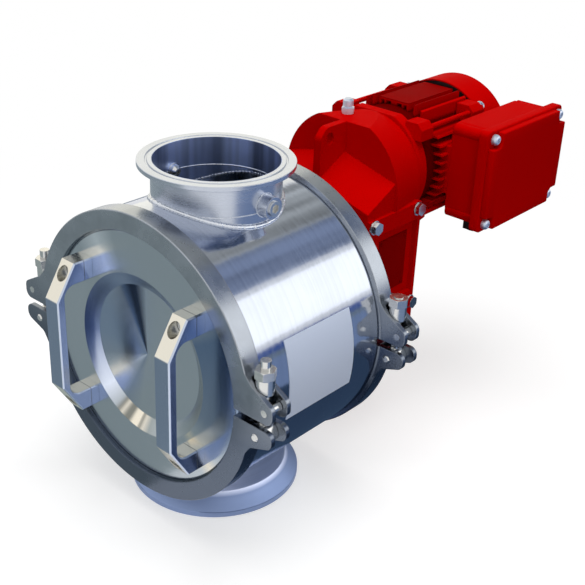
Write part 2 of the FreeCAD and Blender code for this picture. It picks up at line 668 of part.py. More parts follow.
def housing_label():
    profile = [("housing_radius + weld_gap", "label_front"),
               ("housing_radius + weld_gap", "label_rear"),
               ("housing_radius + weld_gap + label_thickness", "label_rear"),
               ("housing_radius + weld_gap + label_thickness", "label_front")]
    band = turned(profile)
    feature = band.Tip
    feature.setExpression("Angle", bound("label_high - label_low"))
    place(band, turn=FreeCAD.Rotation(FreeCAD.Vector(0, 1, 0), -number("label_high")))
    node(band, "housing_label")


def saddle(margin="weld_gap"):
    """The housing's outside as a solid, to shape what is welded on it."""
    length = "4 * housing_half_length"
    return rod("housing_radius + " + margin, length, ("0", "-2 * housing_half_length", "0"), "y")


def inlet_spout():
    neck = "inlet_bore + spout_wall"
    under = "inlet_reach - inlet_rim"
    root = "%s - %s" % (under, taper("inlet_ferrule - inlet_bore - spout_wall"))
    groove = "groove_inner + groove_width"
    floor = "inlet_reach - groove_depth"
    profile = [("inlet_bore", "0"), (neck, "0"), (neck, root), ("inlet_ferrule", under),
               ("inlet_ferrule", "inlet_reach"), (groove, "inlet_reach"),
               (groove + " - groove_depth / 3", floor), ("groove_inner + groove_depth / 3", floor),
               ("groove_inner", "inlet_reach"), ("inlet_bore", "inlet_reach")]
    spout = turned(profile, "z")
    rims = circle_at(("inlet_ferrule", "z", "inlet_reach"), ("inlet_ferrule", "z", under))
    soften(spout, "Fillet", "edge_break", rims)
    start = ("-socket_reach", "0", "socket_rise")
    ports = rod("plug_radius + fit_gap", "2 * socket_reach", start, "x")
    node(cut(spout, [saddle(), ports]), "inlet_spout")


def outlet_spout():
    neck = "outlet_bore + spout_wall"
    profile = [("outlet_bore", "0"), (neck, "0"), (neck, "-axis_height + outlet_hub"),
               ("outlet_ferrule", "-axis_height + outlet_rim"), ("outlet_ferrule", "-axis_height"),
               ("outlet_bore", "-axis_height")]
    spout = turned(profile, "z")
    soften(spout, "Fillet", "edge_break", circle_at(("outlet_ferrule", "z", "-axis_height + outlet_rim")))
    node(cut(spout, [saddle()]), "outlet_spout")


def spray_sockets():
    """The two welded sockets on the inlet neck, the plug in one and the spray nozzle in the other."""
    sockets = []
    for side in SIDES:
        bore = "plug_radius + fit_gap"
        inner = "%d * inlet_bore" % side
        outer = "%d * socket_reach" % side
        shape = turned([(bore, inner), ("socket_radius", inner), ("socket_radius", outer), (bore, outer)],
                       "x", ("0", "0", "socket_rise"))
        neck = rod("inlet_bore + spout_wall + weld_gap", "2 * socket_radius + edge_round",
                   ("0", "0", "socket_rise - socket_radius - edge_round / 2"), "z")
        sockets.append(cut(shape, [neck]))
    node(group(sockets), "spray_sockets")
    head = "socket_reach + plug_proud"
    plug = rod("plug_radius", head + " - inlet_bore - spout_wall / 2",
               ("inlet_bore + spout_wall / 2", "0", "socket_rise"), "x")
    key = hexagon("plug_key", "plug_key_depth", (head, "0", "socket_rise"), "-x")
    node(cut(plug, [key]), "socket_plug")
    tip = "-(inlet_bore - nozzle_reach)"
    shoulder = "%s - nozzle_dome" % tip
    stem = [("0", "-(%s)" % head), ("plug_radius", "-(%s)" % head), ("plug_radius", shoulder),
            ("nozzle_dome", shoulder), ("nozzle_dome * cos(30)", tip + " - nozzle_dome / 2"),
            ("nozzle_dome / 2", tip + " - nozzle_dome * (1 - cos(30))"), ("0", tip)]
    nozzle = turned(stem, "x", ("0", "0", "socket_rise"))
    centre = rod("nozzle_hole + edge_break", "nozzle_dome", (tip, "0", "socket_rise"), "-x")
    holes = [rod("nozzle_hole", "2 * nozzle_dome", (shoulder + " + nozzle_dome / 3", "0", "socket_rise"),
                 along) for along in ("y", "-y", "-z")]
    node(cut(nozzle, [centre] + holes), "spray_nozzle")


def cover_profile(side, face, inside):
    """A cover's outline from its spigot round to its outer disc."""
    seat = "joint_offset + gasket_thickness / 2"
    rim = seat + " + ferrule_rim"
    shoulder = "%s + %s" % (rim, taper("ferrule_radius - cover_disc"))
    spigot = "bore_radius - rotor_gap"
    points = [(inside, "chamber_half"), (spigot, "chamber_half"), (spigot, seat), ("ferrule_radius", seat),
              ("ferrule_radius", rim), ("cover_disc", shoulder), ("cover_disc", face)]
    return [(radius, "%d * (%s)" % (side, y)) for radius, y in points]


def covers():
    dish = [("dish_rim", "-cover_face"), ("dish_floor", "-(cover_face - dish_depth)"),
            ("0", "-(cover_face - dish_depth)")]
    front = turned(cover_profile(-1, "cover_face", "0") + dish)
    soften(front, "Chamfer", "edge_break / 2", circle_at(("cover_disc", "y", "-cover_face")))
    holes = []
    for x_side in SIDES:
        for z_side in SIDES:
            at = ("%d * handle_offset" % x_side, "-cover_face",
                  "%d * (handle_half - screw_inset)" % z_side)
            holes.append(rod("screw_radius + fit_gap", "screw_bite + edge_round", at, "y"))
    node(cut(front, holes), "front_cover")
    bore = "seal_radius + fit_gap"
    lip = "shaft_radius + lip_gap"
    web = "chamber_half + plate_thickness"
    rear = turned(cover_profile(1, "cover_face", lip) + [(bore, "cover_face"), (bore, web), (lip, web)])
    soften(rear, "Chamfer", "edge_break / 2", circle_at(("cover_disc", "y", "cover_face")))
    depth = "cover_face - chamber_half - thread_floor"
    threads = [rod("screw_radius * m6_share + fit_gap", depth, (x, "cover_face", z), "-y")
               for x, z in on_circle(6, "holder_bolts", 30)]
    node(cut(rear, threads), "rear_cover")
    seals = []
    for side in SIDES:
        low = "%d * joint_offset - gasket_thickness / 2" % side
        high = "%d * joint_offset + gasket_thickness / 2" % side
        outer = "ferrule_radius - edge_break"
        seals.append(turned([("gasket_inner", low), (outer, low), (outer, high), ("gasket_inner", high)]))
    y = "chamber_half + plate_thickness"
    lip = "shaft_radius + fit_gap"
    end = y + " + seal_width"
    seals.append(turned([(lip, y), ("seal_radius", y), ("seal_radius", end),
                         ("seal_radius - seal_shell", end), ("seal_radius - seal_shell", y + " + seal_shell"),
                         (lip, y + " + seal_shell")]))
    node(group(seals), "cover_seals")


def handle(side):
    """A pull handle milled from the solid, screwed to the front cover from outside."""
    foot = "-cover_face"
    front = "-(cover_face + handle_reach)"
    leg = "-(cover_face + handle_leg)"
    inside = "-(cover_face + handle_reach - handle_thickness)"
    low = "handle_half - foot_height"
    upper = [(foot, low), (foot, "handle_half"), (leg, "handle_half"), (front, "handle_grip")]
    lower = [(y, "-(%s)" % z) for y, z in reversed(upper)]
    points = upper + lower + [(inside, "-(%s)" % low), (inside, low)]
    start = "%d * handle_offset - handle_width / 2" % side
    body = prism("YZ", points, start, "handle_width")
    soften(body, "Fillet", "handle_inside", runs_along("x", (inside, low), (inside, "-(%s)" % low)))
    faces = [number(start), number(start + " + handle_width")]
    body_foot = number(foot)

    def side_edges(edge):
        ends = [vertex.Point for vertex in edge.Vertexes]
        in_face = any(all(abs(end.x - face) < 1e-4 for end in ends) for face in faces)
        on_foot = all(abs(end.y - body_foot) < 1e-4 for end in ends)
        return in_face and not on_foot

    soften(body, "Chamfer", "handle_edge", side_edges)
    tools = []
    for z_side in SIDES:
        x = "%d * handle_offset" % side
        z = "%d * (handle_half - screw_inset)" % z_side
        head = (x, "-(cover_face + screw_grip)", z)
        tools.append(rod("screw_radius + loose_gap", "screw_grip + edge_round", head, "y"))
        tools.append(rod("screw_head + 2 * loose_gap", "handle_reach", head, "-y"))
    return cut(body, tools)


def handles():
    node(group([handle(side) for side in SIDES]), "cover_handles")
    screws = []
    for x_side in SIDES:
        for z_side in SIDES:
            at = ("%d * handle_offset" % x_side, "-(cover_face + screw_grip)",
                  "%d * (handle_half - screw_inset)" % z_side)
            screws.append(cap_screw(at, "y", "screw_grip + screw_bite"))
    node(group(screws), "handle_screws")


def ring_section(side):
    """The channel section of a clamp ring, which wedges the two flanges together."""
    rim = "gasket_thickness / 2 + ferrule_rim + ring_slack"
    floor = "ferrule_radius + 2 * ring_slack"
    mouth = "%s + %s" % (rim, taper("ferrule_radius - ring_mouth"))
    throat = "%s + %s" % (rim, taper("ferrule_radius - ring_throat"))
    points = [("ring_mouth", "ring_front"), ("ring_outer - edge_break", "ring_front"),
              ("ring_outer", "ring_front - edge_break"), ("ring_outer", "-ring_back + ring_taper / 4"),
              ("ring_outer - ring_taper", "-ring_back"), ("ring_throat", "-ring_back"),
              ("ring_throat", "-(%s)" % throat), (floor, "-(%s)" % rim), (floor, rim),
              ("ring_mouth", mouth)]
    return [(radius, "%d * (joint_offset + %s)" % (side, u)) for radius, u in points]


def fork_start(side):
    """Where the plates of a ring's forked ears begin along Y."""
    return "joint_offset - fork_setback" if side > 0 else "-(joint_offset + ring_front)"


def fork_middle(side):
    return "%s + fork_width / 2" % fork_start(side)


def ear(side, x_side, upper):
    """One forked ear, before its slot and holes."""
    tip = "ring_outer + tip_overhang"
    inner = "ring_throat + (ring_outer - ring_throat) / 2"
    shoulder = "ring_outer + ear_shoulder"
    if upper:
        points = [(inner, "split_half"), (tip, "split_half"), (tip, "split_half + upper_tip_height"),
                  (shoulder, "upper_shoulder"), ("ring_outer - upper_inset", "upper_root"),
                  (inner, "upper_root")]
    else:
        points = [(inner, "-split_half"), (tip, "-split_half"), (tip, "-(split_half + lower_tip_height)"),
                  (shoulder, "-lower_shoulder"), ("ring_outer - lower_inset", "-lower_root"),
                  (inner, "-lower_root")]
    points = [("%d * (%s)" % (x_side, x), z) for x, z in points]
    body = prism("XZ", points, fork_start(side), "fork_width")
    soften(body, "Fillet", "ear_round", runs_along("y", points[1], points[2], points[3]))
    return body


def clamp_half(side, upper, name):
    """Half a clamp ring with a forked ear at each end."""
    z_side = 1 if upper else -1
    ring = turned(ring_section(side))
    far = "2 * ring_outer"
    y_low = "%d * joint_offset - 2 * fork_width" % side
    y_high = "%d * joint_offset + 2 * fork_width" % side
    limits = ("split_half - " + far, "split_half") if upper else ("-split_half", far + " - split_half")
    away = block(("-" + far, y_low, limits[0]), (far, y_high, limits[1]))
    half = cut(ring, [away])
    trim = rod("housing_radius + 4 * ring_slack", "8 * fork_width", ("0", "-4 * fork_width", "0"), "y")
    trim.setExpression("Placement.Base.y", bound("%d * joint_offset - 4 * fork_width" % side))
    ears = [cut(ear(side, x_side, upper), [trim]) for x_side in SIDES]
    whole = join([half] + ears)
    slot_low = "%s + fork_plate" % fork_start(side)
    slot_high = "%s + fork_width - fork_plate" % fork_start(side)
    tools = []
    for x_side in SIDES:
        near = "ring_outer - slot_inset"
        wide = "ring_outer + 2 * tip_overhang"
        x_low, x_high = (near, wide) if x_side > 0 else ("-(%s)" % wide, "-(%s)" % near)
        top = "slot_rise" if upper else "0"
        bottom = "0" if upper else "-slot_drop"
        tools.append(block((x_low, slot_low, bottom), (x_high, slot_high, top)))
        bolt_x = "%d * (ring_outer + bolt_overhang)" % x_side
        cross_x = "%d * (ring_outer + cross_overhang)" % x_side
        if upper:
            tools.append(rod("seat_radius", "upper_root", (bolt_x, fork_middle(side), "seat_height"), "z"))
            start = (cross_x, fork_start(side) + " - edge_round", "cross_rise")
            tools.append(rod("cross_radius + fit_gap", "fork_width + 2 * edge_round", start, "y"))
        else:
            start = (bolt_x, fork_start(side) + " - edge_round", "-pin_drop")
            tools.append(rod("pin_radius + fit_gap", "fork_width + 2 * edge_round", start, "y"))
    node(cut(whole, tools), name)


def clamp_hardware():
    """Hinge pins, cross pins with rollers, eye bolts and sleeve nuts, at four corners."""
    pins = []
    eyes = []
    for side in SIDES:
        for x_side in SIDES:
            x = "%d * (ring_outer + bolt_overhang)" % x_side
            cross_x = "%d * (ring_outer + cross_overhang)" % x_side
            middle = fork_middle(side)
            start = fork_start(side) + " - pin_proud"
            length = "fork_width + 2 * pin_proud"
            pin = turned([("0", "0"), ("pin_radius - pin_proud", "0"), ("pin_radius", "pin_proud"),
                          ("pin_radius", length + " - pin_proud"), ("pin_radius - pin_proud", length),
                          ("0", length)], at=(x, start, "-pin_drop"))
            pins.append(pin)
            pin = rod("cross_radius", "fork_width", (cross_x, fork_start(side), "cross_rise"), "y")
            roller = rod("roller_radius", "fork_width - 2 * fork_plate - 4 * ring_slack",
                         (cross_x, fork_start(side) + " + fork_plate + 2 * ring_slack", "cross_rise"), "y")
            pins.append(join([pin, roller]))
            top = "front_shank_top" if side < 0 else "rear_shank_top"
            eye = rod("eye_radius", "eye_width", (x, middle + " - eye_width / 2", "-pin_drop"), "y")
            shank = rod("shank_radius", top + " + pin_drop", (x, middle, "-pin_drop"), "z")
            hole = rod("pin_radius + fit_gap", "2 * eye_width", (x, middle + " - eye_width", "-pin_drop"),
                       "y")
            eyes.append(cut(join([eye, shank]), [hole]))
            bore = "shank_radius + 2 * fit_gap"
            outside = "nut_flats / 2 / cos(30)"
            sleeve_top = "seat_height + sleeve_length"
            nut_top = sleeve_top + " + nut_height"
            sleeve = turned([(bore, "seat_height"), ("sleeve_radius", "seat_height"),
                             ("sleeve_radius", sleeve_top), (outside + " - 2 * nut_chamfer", sleeve_top),
                             (outside, sleeve_top + " + nut_chamfer"), (outside, nut_top + " - nut_chamfer"),
                             (outside + " - 2 * nut_chamfer", nut_top), (bore, nut_top)],
                            "z", (x, middle, "0"))
            flats = hexagon("nut_flats", "sleeve_length + nut_height", (x, middle, "seat_height"), "z")
            name = "%s_%s_sleeve_nut" % ("front" if side < 0 else "rear", "left" if x_side < 0 else "right")
            node(common(sleeve, flats), name)
    node(group(pins), "clamp_pins")
    node(group(eyes), "clamp_eye_bolts")


def rotor():
    half = "chamber_half - rotor_side_gap"
    hub = rod("hub_radius", "2 * (%s)" % half, ("0", "-(%s)" % half, "0"), "y")
    reach = "bore_radius - rotor_gap"
    count = int(number("vanes"))
    vanes = []
    for k in range(count):
        vane = doc.addObject("Part::Box", "Vane")
        vane.setExpression("Length", bound(reach))
        vane.setExpression("Width", bound("2 * (%s)" % half))
        vane.setExpression("Height", bound("vane_thickness"))
        angle = 180.0 / count + 360.0 * k / count
        turn = FreeCAD.Rotation(FreeCAD.Vector(0, 1, 0), -angle)
        shift = "vane_thickness / 2 * "
        place(vane, shift + "sin(%g)" % angle, "-(%s)" % half, "-%scos(%g)" % (shift, angle), turn)
        vanes.append(vane)
    limit = rod(reach, "2 * (%s)" % half, ("0", "-(%s)" % half, "0"), "y")
    wheel = common(join([hub] + vanes), limit)
    bore = rod("shaft_radius + fit_gap", "2 * chamber_half", ("0", "shaft_front", "0"), "y")
    pocket = rod("counterbore_radius", "chamber_half + shaft_front", ("0", "shaft_front", "0"), "-y")
    slot = block(("-(key_width / 2 + fit_gap)", "-key_length / 2", "0"),
                 ("key_width / 2 + fit_gap", "chamber_half", "shaft_radius + key_height / 2 + fit_gap"))
    node(cut(wheel, [bore, pocket, slot]), "rotor")


def rotor_shaft():
    rear = "unit_rear - shaft_setback"
    seat = "shaft_radius - key_height / 2"
    bar = rod("shaft_radius", "%s - shaft_front" % rear, ("0", "shaft_front", "0"), "y")
    low = "-(key_width / 2 + fit_gap)"
    high = "key_width / 2 + fit_gap"
    start = "-key_length / 2"
    first = block((low, start, seat), (high, start + " + key_length", "shaft_radius + over_cut"))
    drive = "output_gear_y"
    second = block((low, drive, seat), (high, drive + " + key_length", "shaft_radius + over_cut"))
    ends = [rod("screw_radius * m12_share", "end_thread", ("0", "shaft_front", "0"), "y"),
            rod("screw_radius * m12_share", "end_thread", ("0", rear, "0"), "-y")]
    node(cut(bar, [first, second] + ends), "rotor_shaft")
    top = "%s + key_height" % seat
    keys = [block(("-key_width / 2", y, seat), ("key_width / 2", y + " + key_length", top))
            for y in (start, drive)]
    node(group(keys), "shaft_keys")
    bore = "screw_radius * m12_share + fit_gap"
    face = "shaft_front - washer_thickness"
    disc = turned([(bore, face), ("washer_radius", face), ("washer_radius", "shaft_front"),
                   (bore, "shaft_front")])
    screw = cap_screw(("0", face, "0"), "y", "end_thread", "m12_share")
    node(group([disc, screw]), "rotor_fastening")


def shaft_support():
    """The bearing housing that carries the overhung rotor, with its bearings, seals and screws."""
    face = "cover_face"
    flange = face + " + holder_flange_thickness"
    back = "unit_front - holder_flange_thickness"
    seat = "%s + bearing_shoulder" % face
    mouth = "shaft_radius + mouth_gap"
    bore = "bearing_radius + fit_gap"
    profile = [(mouth, face), ("holder_flange", face), ("holder_flange", flange), ("holder_body", flange),
               ("holder_body", back), ("holder_flange", back), ("holder_flange", "unit_front"),
               (bore, "unit_front"), (bore, seat), (mouth, seat)]
    shape = turned(profile)
    through = "screw_radius * m6_share + loose_gap"
    long = "2 * holder_flange_thickness"
    front_holes = [rod(through, long, (x, flange + " + edge_round", z), "-y")
                   for x, z in on_circle(6, "holder_bolts", 30)]
    rear_holes = [rod(through, long, (x, back + " - edge_round", z), "y")
                  for x, z in on_circle(6, "holder_bolts", 0)]
    node(cut(shape, front_holes + rear_holes), "bearing_housing")
    screws = [cap_screw((x, flange, z), "-y", "holder_flange_thickness + cover_bite", "m6_share")
              for x, z in on_circle(6, "holder_bolts", 30)]
    length = "holder_flange_thickness + plate_thickness - edge_break"
    screws += [cap_screw((x, back, z), "y", length, "m6_share")
              for x, z in on_circle(6, "holder_bolts", 0)]
    node(group(screws), "bearing_housing_screws")
    second = "%s + bearing_width + spacer_width" % seat
    bearing("rotor", "shaft_radius", "bearing_radius", "bearing_width", [(seat, "0"), (second, "0")])
    y = "%s + bearing_width" % seat
    outer = "bearing_radius - fit_gap"
    inner = "bearing_radius - spacer_wall"
    end = y + " + spacer_width"
    rings = [turned([(inner, y), (outer, y), (outer, end), (inner, end)])]
    y = second + " + bearing_width"
    end = "unit_front"
    rings.append(turned([(inner, y), (outer, y), (outer, end), (inner, end)]))
    node(group(rings), "bearing_spacers")


def roof():
    """The roof of the gear case in front of the drum, falling forward and to both sides."""
    body = doc.addObject("PartDesign::Body", "Roof")
    feature = body.newObject("PartDesign::AdditiveLoft", "Loft")
    sections = []
    for y in ("unit_front", "drum_face + edge_round"):
        ridge = "roof_ridge - roof_pitch * (drum_face - (%s))" % y
        eaves = "%s - roof_fall * roof_half_width" % ridge
        points = [("-roof_half_width", "0"), ("roof_half_width", "0"), ("roof_half_width", eaves),
                  ("0", ridge), ("-roof_half_width", eaves)]
        sections.append(drawn(body, "XZ", points, y))
    feature.Profile = sections[0]
    feature.Sections = sections[1:]
    feature.Ruled = True
    body.Tip = feature
    return place(body)


def gear_case():
    low = ("-case_half_width", "unit_front", "case_bottom")
    high = ("case_half_width", "unit_rear", "case_top")
    lower = block(low, high)
    drum = turned([("0", "drum_face"), ("drum_radius", "drum_face"), ("drum_rear_radius", "drum_rear"),
                   ("0", "drum_rear")], at=("0", "0", "drum_rise"))
    over = block(("-drum_radius", "drum_face - over_cut", "drum_top"),
                 ("drum_radius", "drum_rear + over_cut", "drum_rise + drum_radius + over_cut"))
    rib = prism("YZ", [("rib_front", "lay_rise"), ("rib_front", "drum_top - rib_slope"),
                       ("rib_front + rib_slope", "drum_top"), ("drum_face + drum_wall / 2", "drum_top"),
                       ("drum_face + drum_wall / 2", "lay_rise")], "-rib_thickness / 2", "rib_thickness")
    corner = ("rib_front + rib_slope", "drum_top")
    front = ("rib_front", "drum_top - rib_slope")
    soften(rib, "Fillet", "rib_slope", runs_along("x", corner, front))
    hole = rod("rib_hole", "2 * rib_thickness", ("-rib_thickness", "rib_hole_y", "rib_hole_rise"), "x")
    outside = join([lower, roof(), cut(drum, [over]), rib])
    wall_rear = "unit_rear - case_wall"
    cavity = block(("-cavity_half", "unit_front - over_cut", "case_bottom + case_wall + plate_seat"),
                   ("cavity_half", wall_rear, "cavity_top"))
    recess = block(("-front_plate_inset", "unit_front - over_cut", "case_bottom + case_wall"),
                   ("front_plate_inset", "unit_front + plate_thickness", "cavity_top + plate_seat"))
    round_room = rod("drum_cavity", "drum_rear - case_wall - drum_face - drum_wall",
                     ("0", "drum_face + drum_wall", "drum_rise"), "y")
    spigot = rod("motor_spigot + fit_gap", "2 * case_wall",
                 ("0", "drum_rear - 1.5 * case_wall", "motor_rise"), "y")
    panels = []
    for side in SIDES:
        outer = "%d * (case_half_width + over_cut)" % side
        inner = "%d * (case_half_width - panel_depth)" % side
        x_low, x_high = (inner, outer) if side > 0 else (outer, inner)
        panels.append(block((x_low, "panel_front", "panel_bottom"), (x_high, "panel_rear", "panel_top")))
    shell = cut(outside, [hole, cavity, recess, round_room, spigot] + panels)
    lay_front = "drum_rear - case_wall - lay_inset - lay_bearing_width"
    out_front = wall_rear + " - output_inset - output_bearing_width"
    lay_boss = rod("lay_bearing_radius + boss_wall", "lay_bearing_width + lay_inset + over_cut",
                   ("0", lay_front, "lay_rise"), "y")
    out_boss = rod("output_bearing_radius + boss_wall", "output_bearing_width + output_inset + over_cut",
                   ("0", out_front, "0"), "y")
    solid = join([shell, lay_boss, out_boss])
    lay_seat = rod("lay_bearing_radius", "lay_bearing_width + over_cut",
                   ("0", lay_front + " - over_cut", "lay_rise"), "y")
    out_seat = rod("output_bearing_radius", "output_bearing_width + over_cut",
                   ("0", out_front + " - over_cut", "0"), "y")
    way_out = rod("hollow_radius + way_out_gap", "4 * case_wall",
                  ("0", wall_rear + " - case_wall / 2", "0"), "y")
    tools = [lay_seat, out_seat, way_out]
    for at in side_bolt_places("case_half_width"):
        tools.append(rod("screw_radius + fit_gap", "side_bolt_length + edge_break", at, "-x"))
    for at in side_bolt_places("-case_half_width"):
        tools.append(rod("screw_radius + fit_gap", "side_bolt_length + edge_break", at, "x"))
    tools.append(rod("screw_radius + fit_gap", "breather_bite + edge_break",
                     ("breather_x", "breather_y", "drum_top"), "-z"))
    node(cut(solid, tools), "gear_case")


def side_bolt_places(x):
    for y in ("side_bolt_front", "side_bolt_rear"):
        for z in ("side_bolt_rise", "-side_bolt_drop"):
            yield (x, y, z)


def gear_case_front():
    """The plate that closes the gear case towards the valve and carries the front bearings."""
    back = "unit_front + plate_thickness"
    front_end = "output_gear_y - gear_clear"
    reach = front_end + " - unit_front"
    gap = "loose_gap"
    plate = block(("-front_plate_inset + " + gap, "unit_front", "case_bottom + case_wall + " + gap),
                  ("front_plate_inset - " + gap, back, "cavity_top + plate_seat - " + gap))
    bosses = [rod("output_bearing_radius + boss_wall", reach, ("0", "unit_front", "0"), "y"),
              rod("lay_bearing_radius + boss_wall", reach, ("0", "unit_front", "lay_rise"), "y")]
    seats = [rod("output_bearing_radius", "output_bearing_width", ("0", front_end, "0"), "-y"),
             rod("lay_bearing_radius", "lay_bearing_width", ("0", front_end, "lay_rise"), "-y"),
             rod("hollow_radius + gear_clear", "2 * plate_thickness",
                 ("0", "unit_front - over_cut", "0"), "y")]
    threads = [rod("screw_radius * m6_share + fit_gap", "plate_thickness", (x, "unit_front", z), "y")
               for x, z in on_circle(6, "holder_bolts", 0)]
    node(cut(join([plate] + bosses), seats + threads), "gear_case_front")


def gear_case_trim():
    """Side bolts with washers, nameplate with rivets, breather plug and rear cap."""
    bolts = []
    washers = []
    for side, along in ((1, "-x"), (-1, "x")):
        for at in side_bolt_places("%d * case_half_width" % side):
            out = reverse(along)
            seat = moved(at, out, "side_washer_thickness")
            washers.append(cut(rod("side_washer", "side_washer_thickness", at, out),
                               [rod("screw_radius + loose_gap", "side_washer_thickness", at, out)]))
            shank = rod("screw_radius", "side_bolt_length + side_washer_thickness", seat, along)
            crown = rod("side_bolt_flats / 2 / cos(30) - loose_gap", "side_bolt_head", seat, out)
            head = common(hexagon("side_bolt_flats", "side_bolt_head", seat, out), crown)
            bolts.append(join([head, shank]))
    node(group(bolts + washers), "side_bolts")
    face = "case_half_width - panel_depth"
    middle = "(panel_front + panel_rear) / 2"
    level = "(panel_top + panel_bottom) / 2"
    low_y = "%s - nameplate_length / 2" % middle
    high_y = "%s + nameplate_length / 2" % middle
    low_z = "%s - nameplate_height / 2" % level
    high_z = "%s + nameplate_height / 2" % level
    plate = block((face, low_y, low_z), (face + " + nameplate_thickness", high_y, high_z))
    rivets = []
    holes = []
    for y in (low_y + " + rivet_inset", high_y + " - rivet_inset"):
        for z in (low_z + " + rivet_inset", high_z + " - rivet_inset"):
            holes.append(rod("rivet_stem + fit_gap", "nameplate_thickness", (face, y, z), "x"))
            stem = rod("rivet_stem", "nameplate_thickness", (face, y, z), "x")
            head = rod("rivet_radius", "nameplate_thickness", (face + " + nameplate_thickness", y, z), "x")
            rivets.append(join([stem, head]))
    node(cut(plate, holes), "nameplate")
    node(group(rivets), "nameplate_rivets")
    at = ("breather_x", "breather_y", "drum_top")
    neck = turned([("0", "-breather_bite"), ("screw_radius", "-breather_bite"), ("screw_radius", "0"),
                   ("breather_flats / 2", "0"), ("breather_flats / 2", "breather_collar"),
                   ("0", "breather_collar")], "z", at)
    nut = hexagon("breather_flats", "breather_hex", moved(at, "z", "breather_collar"), "z")
    base = "breather_collar + breather_hex"
    step = base + " + breather_collar"
    cap = turned([("0", base), ("breather_flats / 3", base), ("breather_flats / 3", step),
                  ("breather_flats * 0.45", step),
                  ("breather_flats * 0.45", "breather_height - breather_collar"),
                  ("breather_flats * 0.3", "breather_height"), ("0", "breather_height")], "z", at)
    node(join([neck, nut, cap]), "breather_plug")
    rim = "hollow_radius + way_out_gap + over_cut"
    crest = "unit_rear + cap_rim + cap_slope"
    node(turned([("0", "unit_rear"), (rim, "unit_rear"), (rim, "unit_rear + cap_rim"),
                 (rim + " - cap_slope", crest), ("0", crest)]), "output_shaft_cap")


def gear_train():
    """Two spur stages from the motor to the hollow output shaft."""
    bore = "shaft_radius + fit_gap"
    start = "unit_front + hollow_inset"
    end = "unit_rear - hollow_inset"
    tube = turned([(bore, start), ("hollow_radius", start), ("hollow_radius", end), (bore, end)])
    slot = block(("-(key_width / 2 + fit_gap)", "output_gear_y", "0"),
                 ("key_width / 2 + fit_gap", end + " + over_cut", "shaft_radius + key_height / 2 + fit_gap"))
    node(cut(tube, [slot]), "hollow_output_shaft")
    node(toothed("output_module", "output_teeth", "output_gear_y", "output_gear_width", "0",
                 "hollow_radius + fit_gap"), "output_gear")
    front_seat = "output_gear_y - gear_clear - output_bearing_width"
    rear_seat = "unit_rear - case_wall - output_inset - output_bearing_width"
    bearing("rotor", "hollow_radius", "output_bearing_radius", "output_bearing_width",
            [(front_seat, "0"), (rear_seat, "0")])
    lay_front = "output_gear_y - gear_clear - lay_bearing_width"
    lay_rear = "drum_rear - case_wall - lay_inset - lay_bearing_width"
    bar = rod("lay_radius", "%s + lay_bearing_width - (%s)" % (lay_rear, lay_front),
              ("0", lay_front, "lay_rise"), "y")
    half_turn = math.pi / number("pinion_teeth")
    pinion = toothed("output_module", "pinion_teeth", "output_gear_y", "output_gear_width", "lay_rise",
                     "lay_radius - over_cut", half_turn - math.pi / 2)
    node(join([bar, pinion]), "layshaft")
    node(toothed("input_module", "lay_teeth", "lay_gear_y", "lay_gear_width", "lay_rise",
                 "lay_radius + fit_gap", math.pi / 2), "layshaft_gear")
    bearing("layshaft", "lay_radius", "lay_bearing_radius", "lay_bearing_width",
            [(lay_front, "lay_rise"), (lay_rear, "lay_rise")])
    half_turn = math.pi / number("motor_teeth")
    node(toothed("input_module", "motor_teeth", "lay_gear_y - pinion_over",
                 "lay_gear_width + 2 * pinion_over", "motor_rise", "motor_nose + fit_gap",
                 half_turn - math.pi / 2), "motor_pinion")


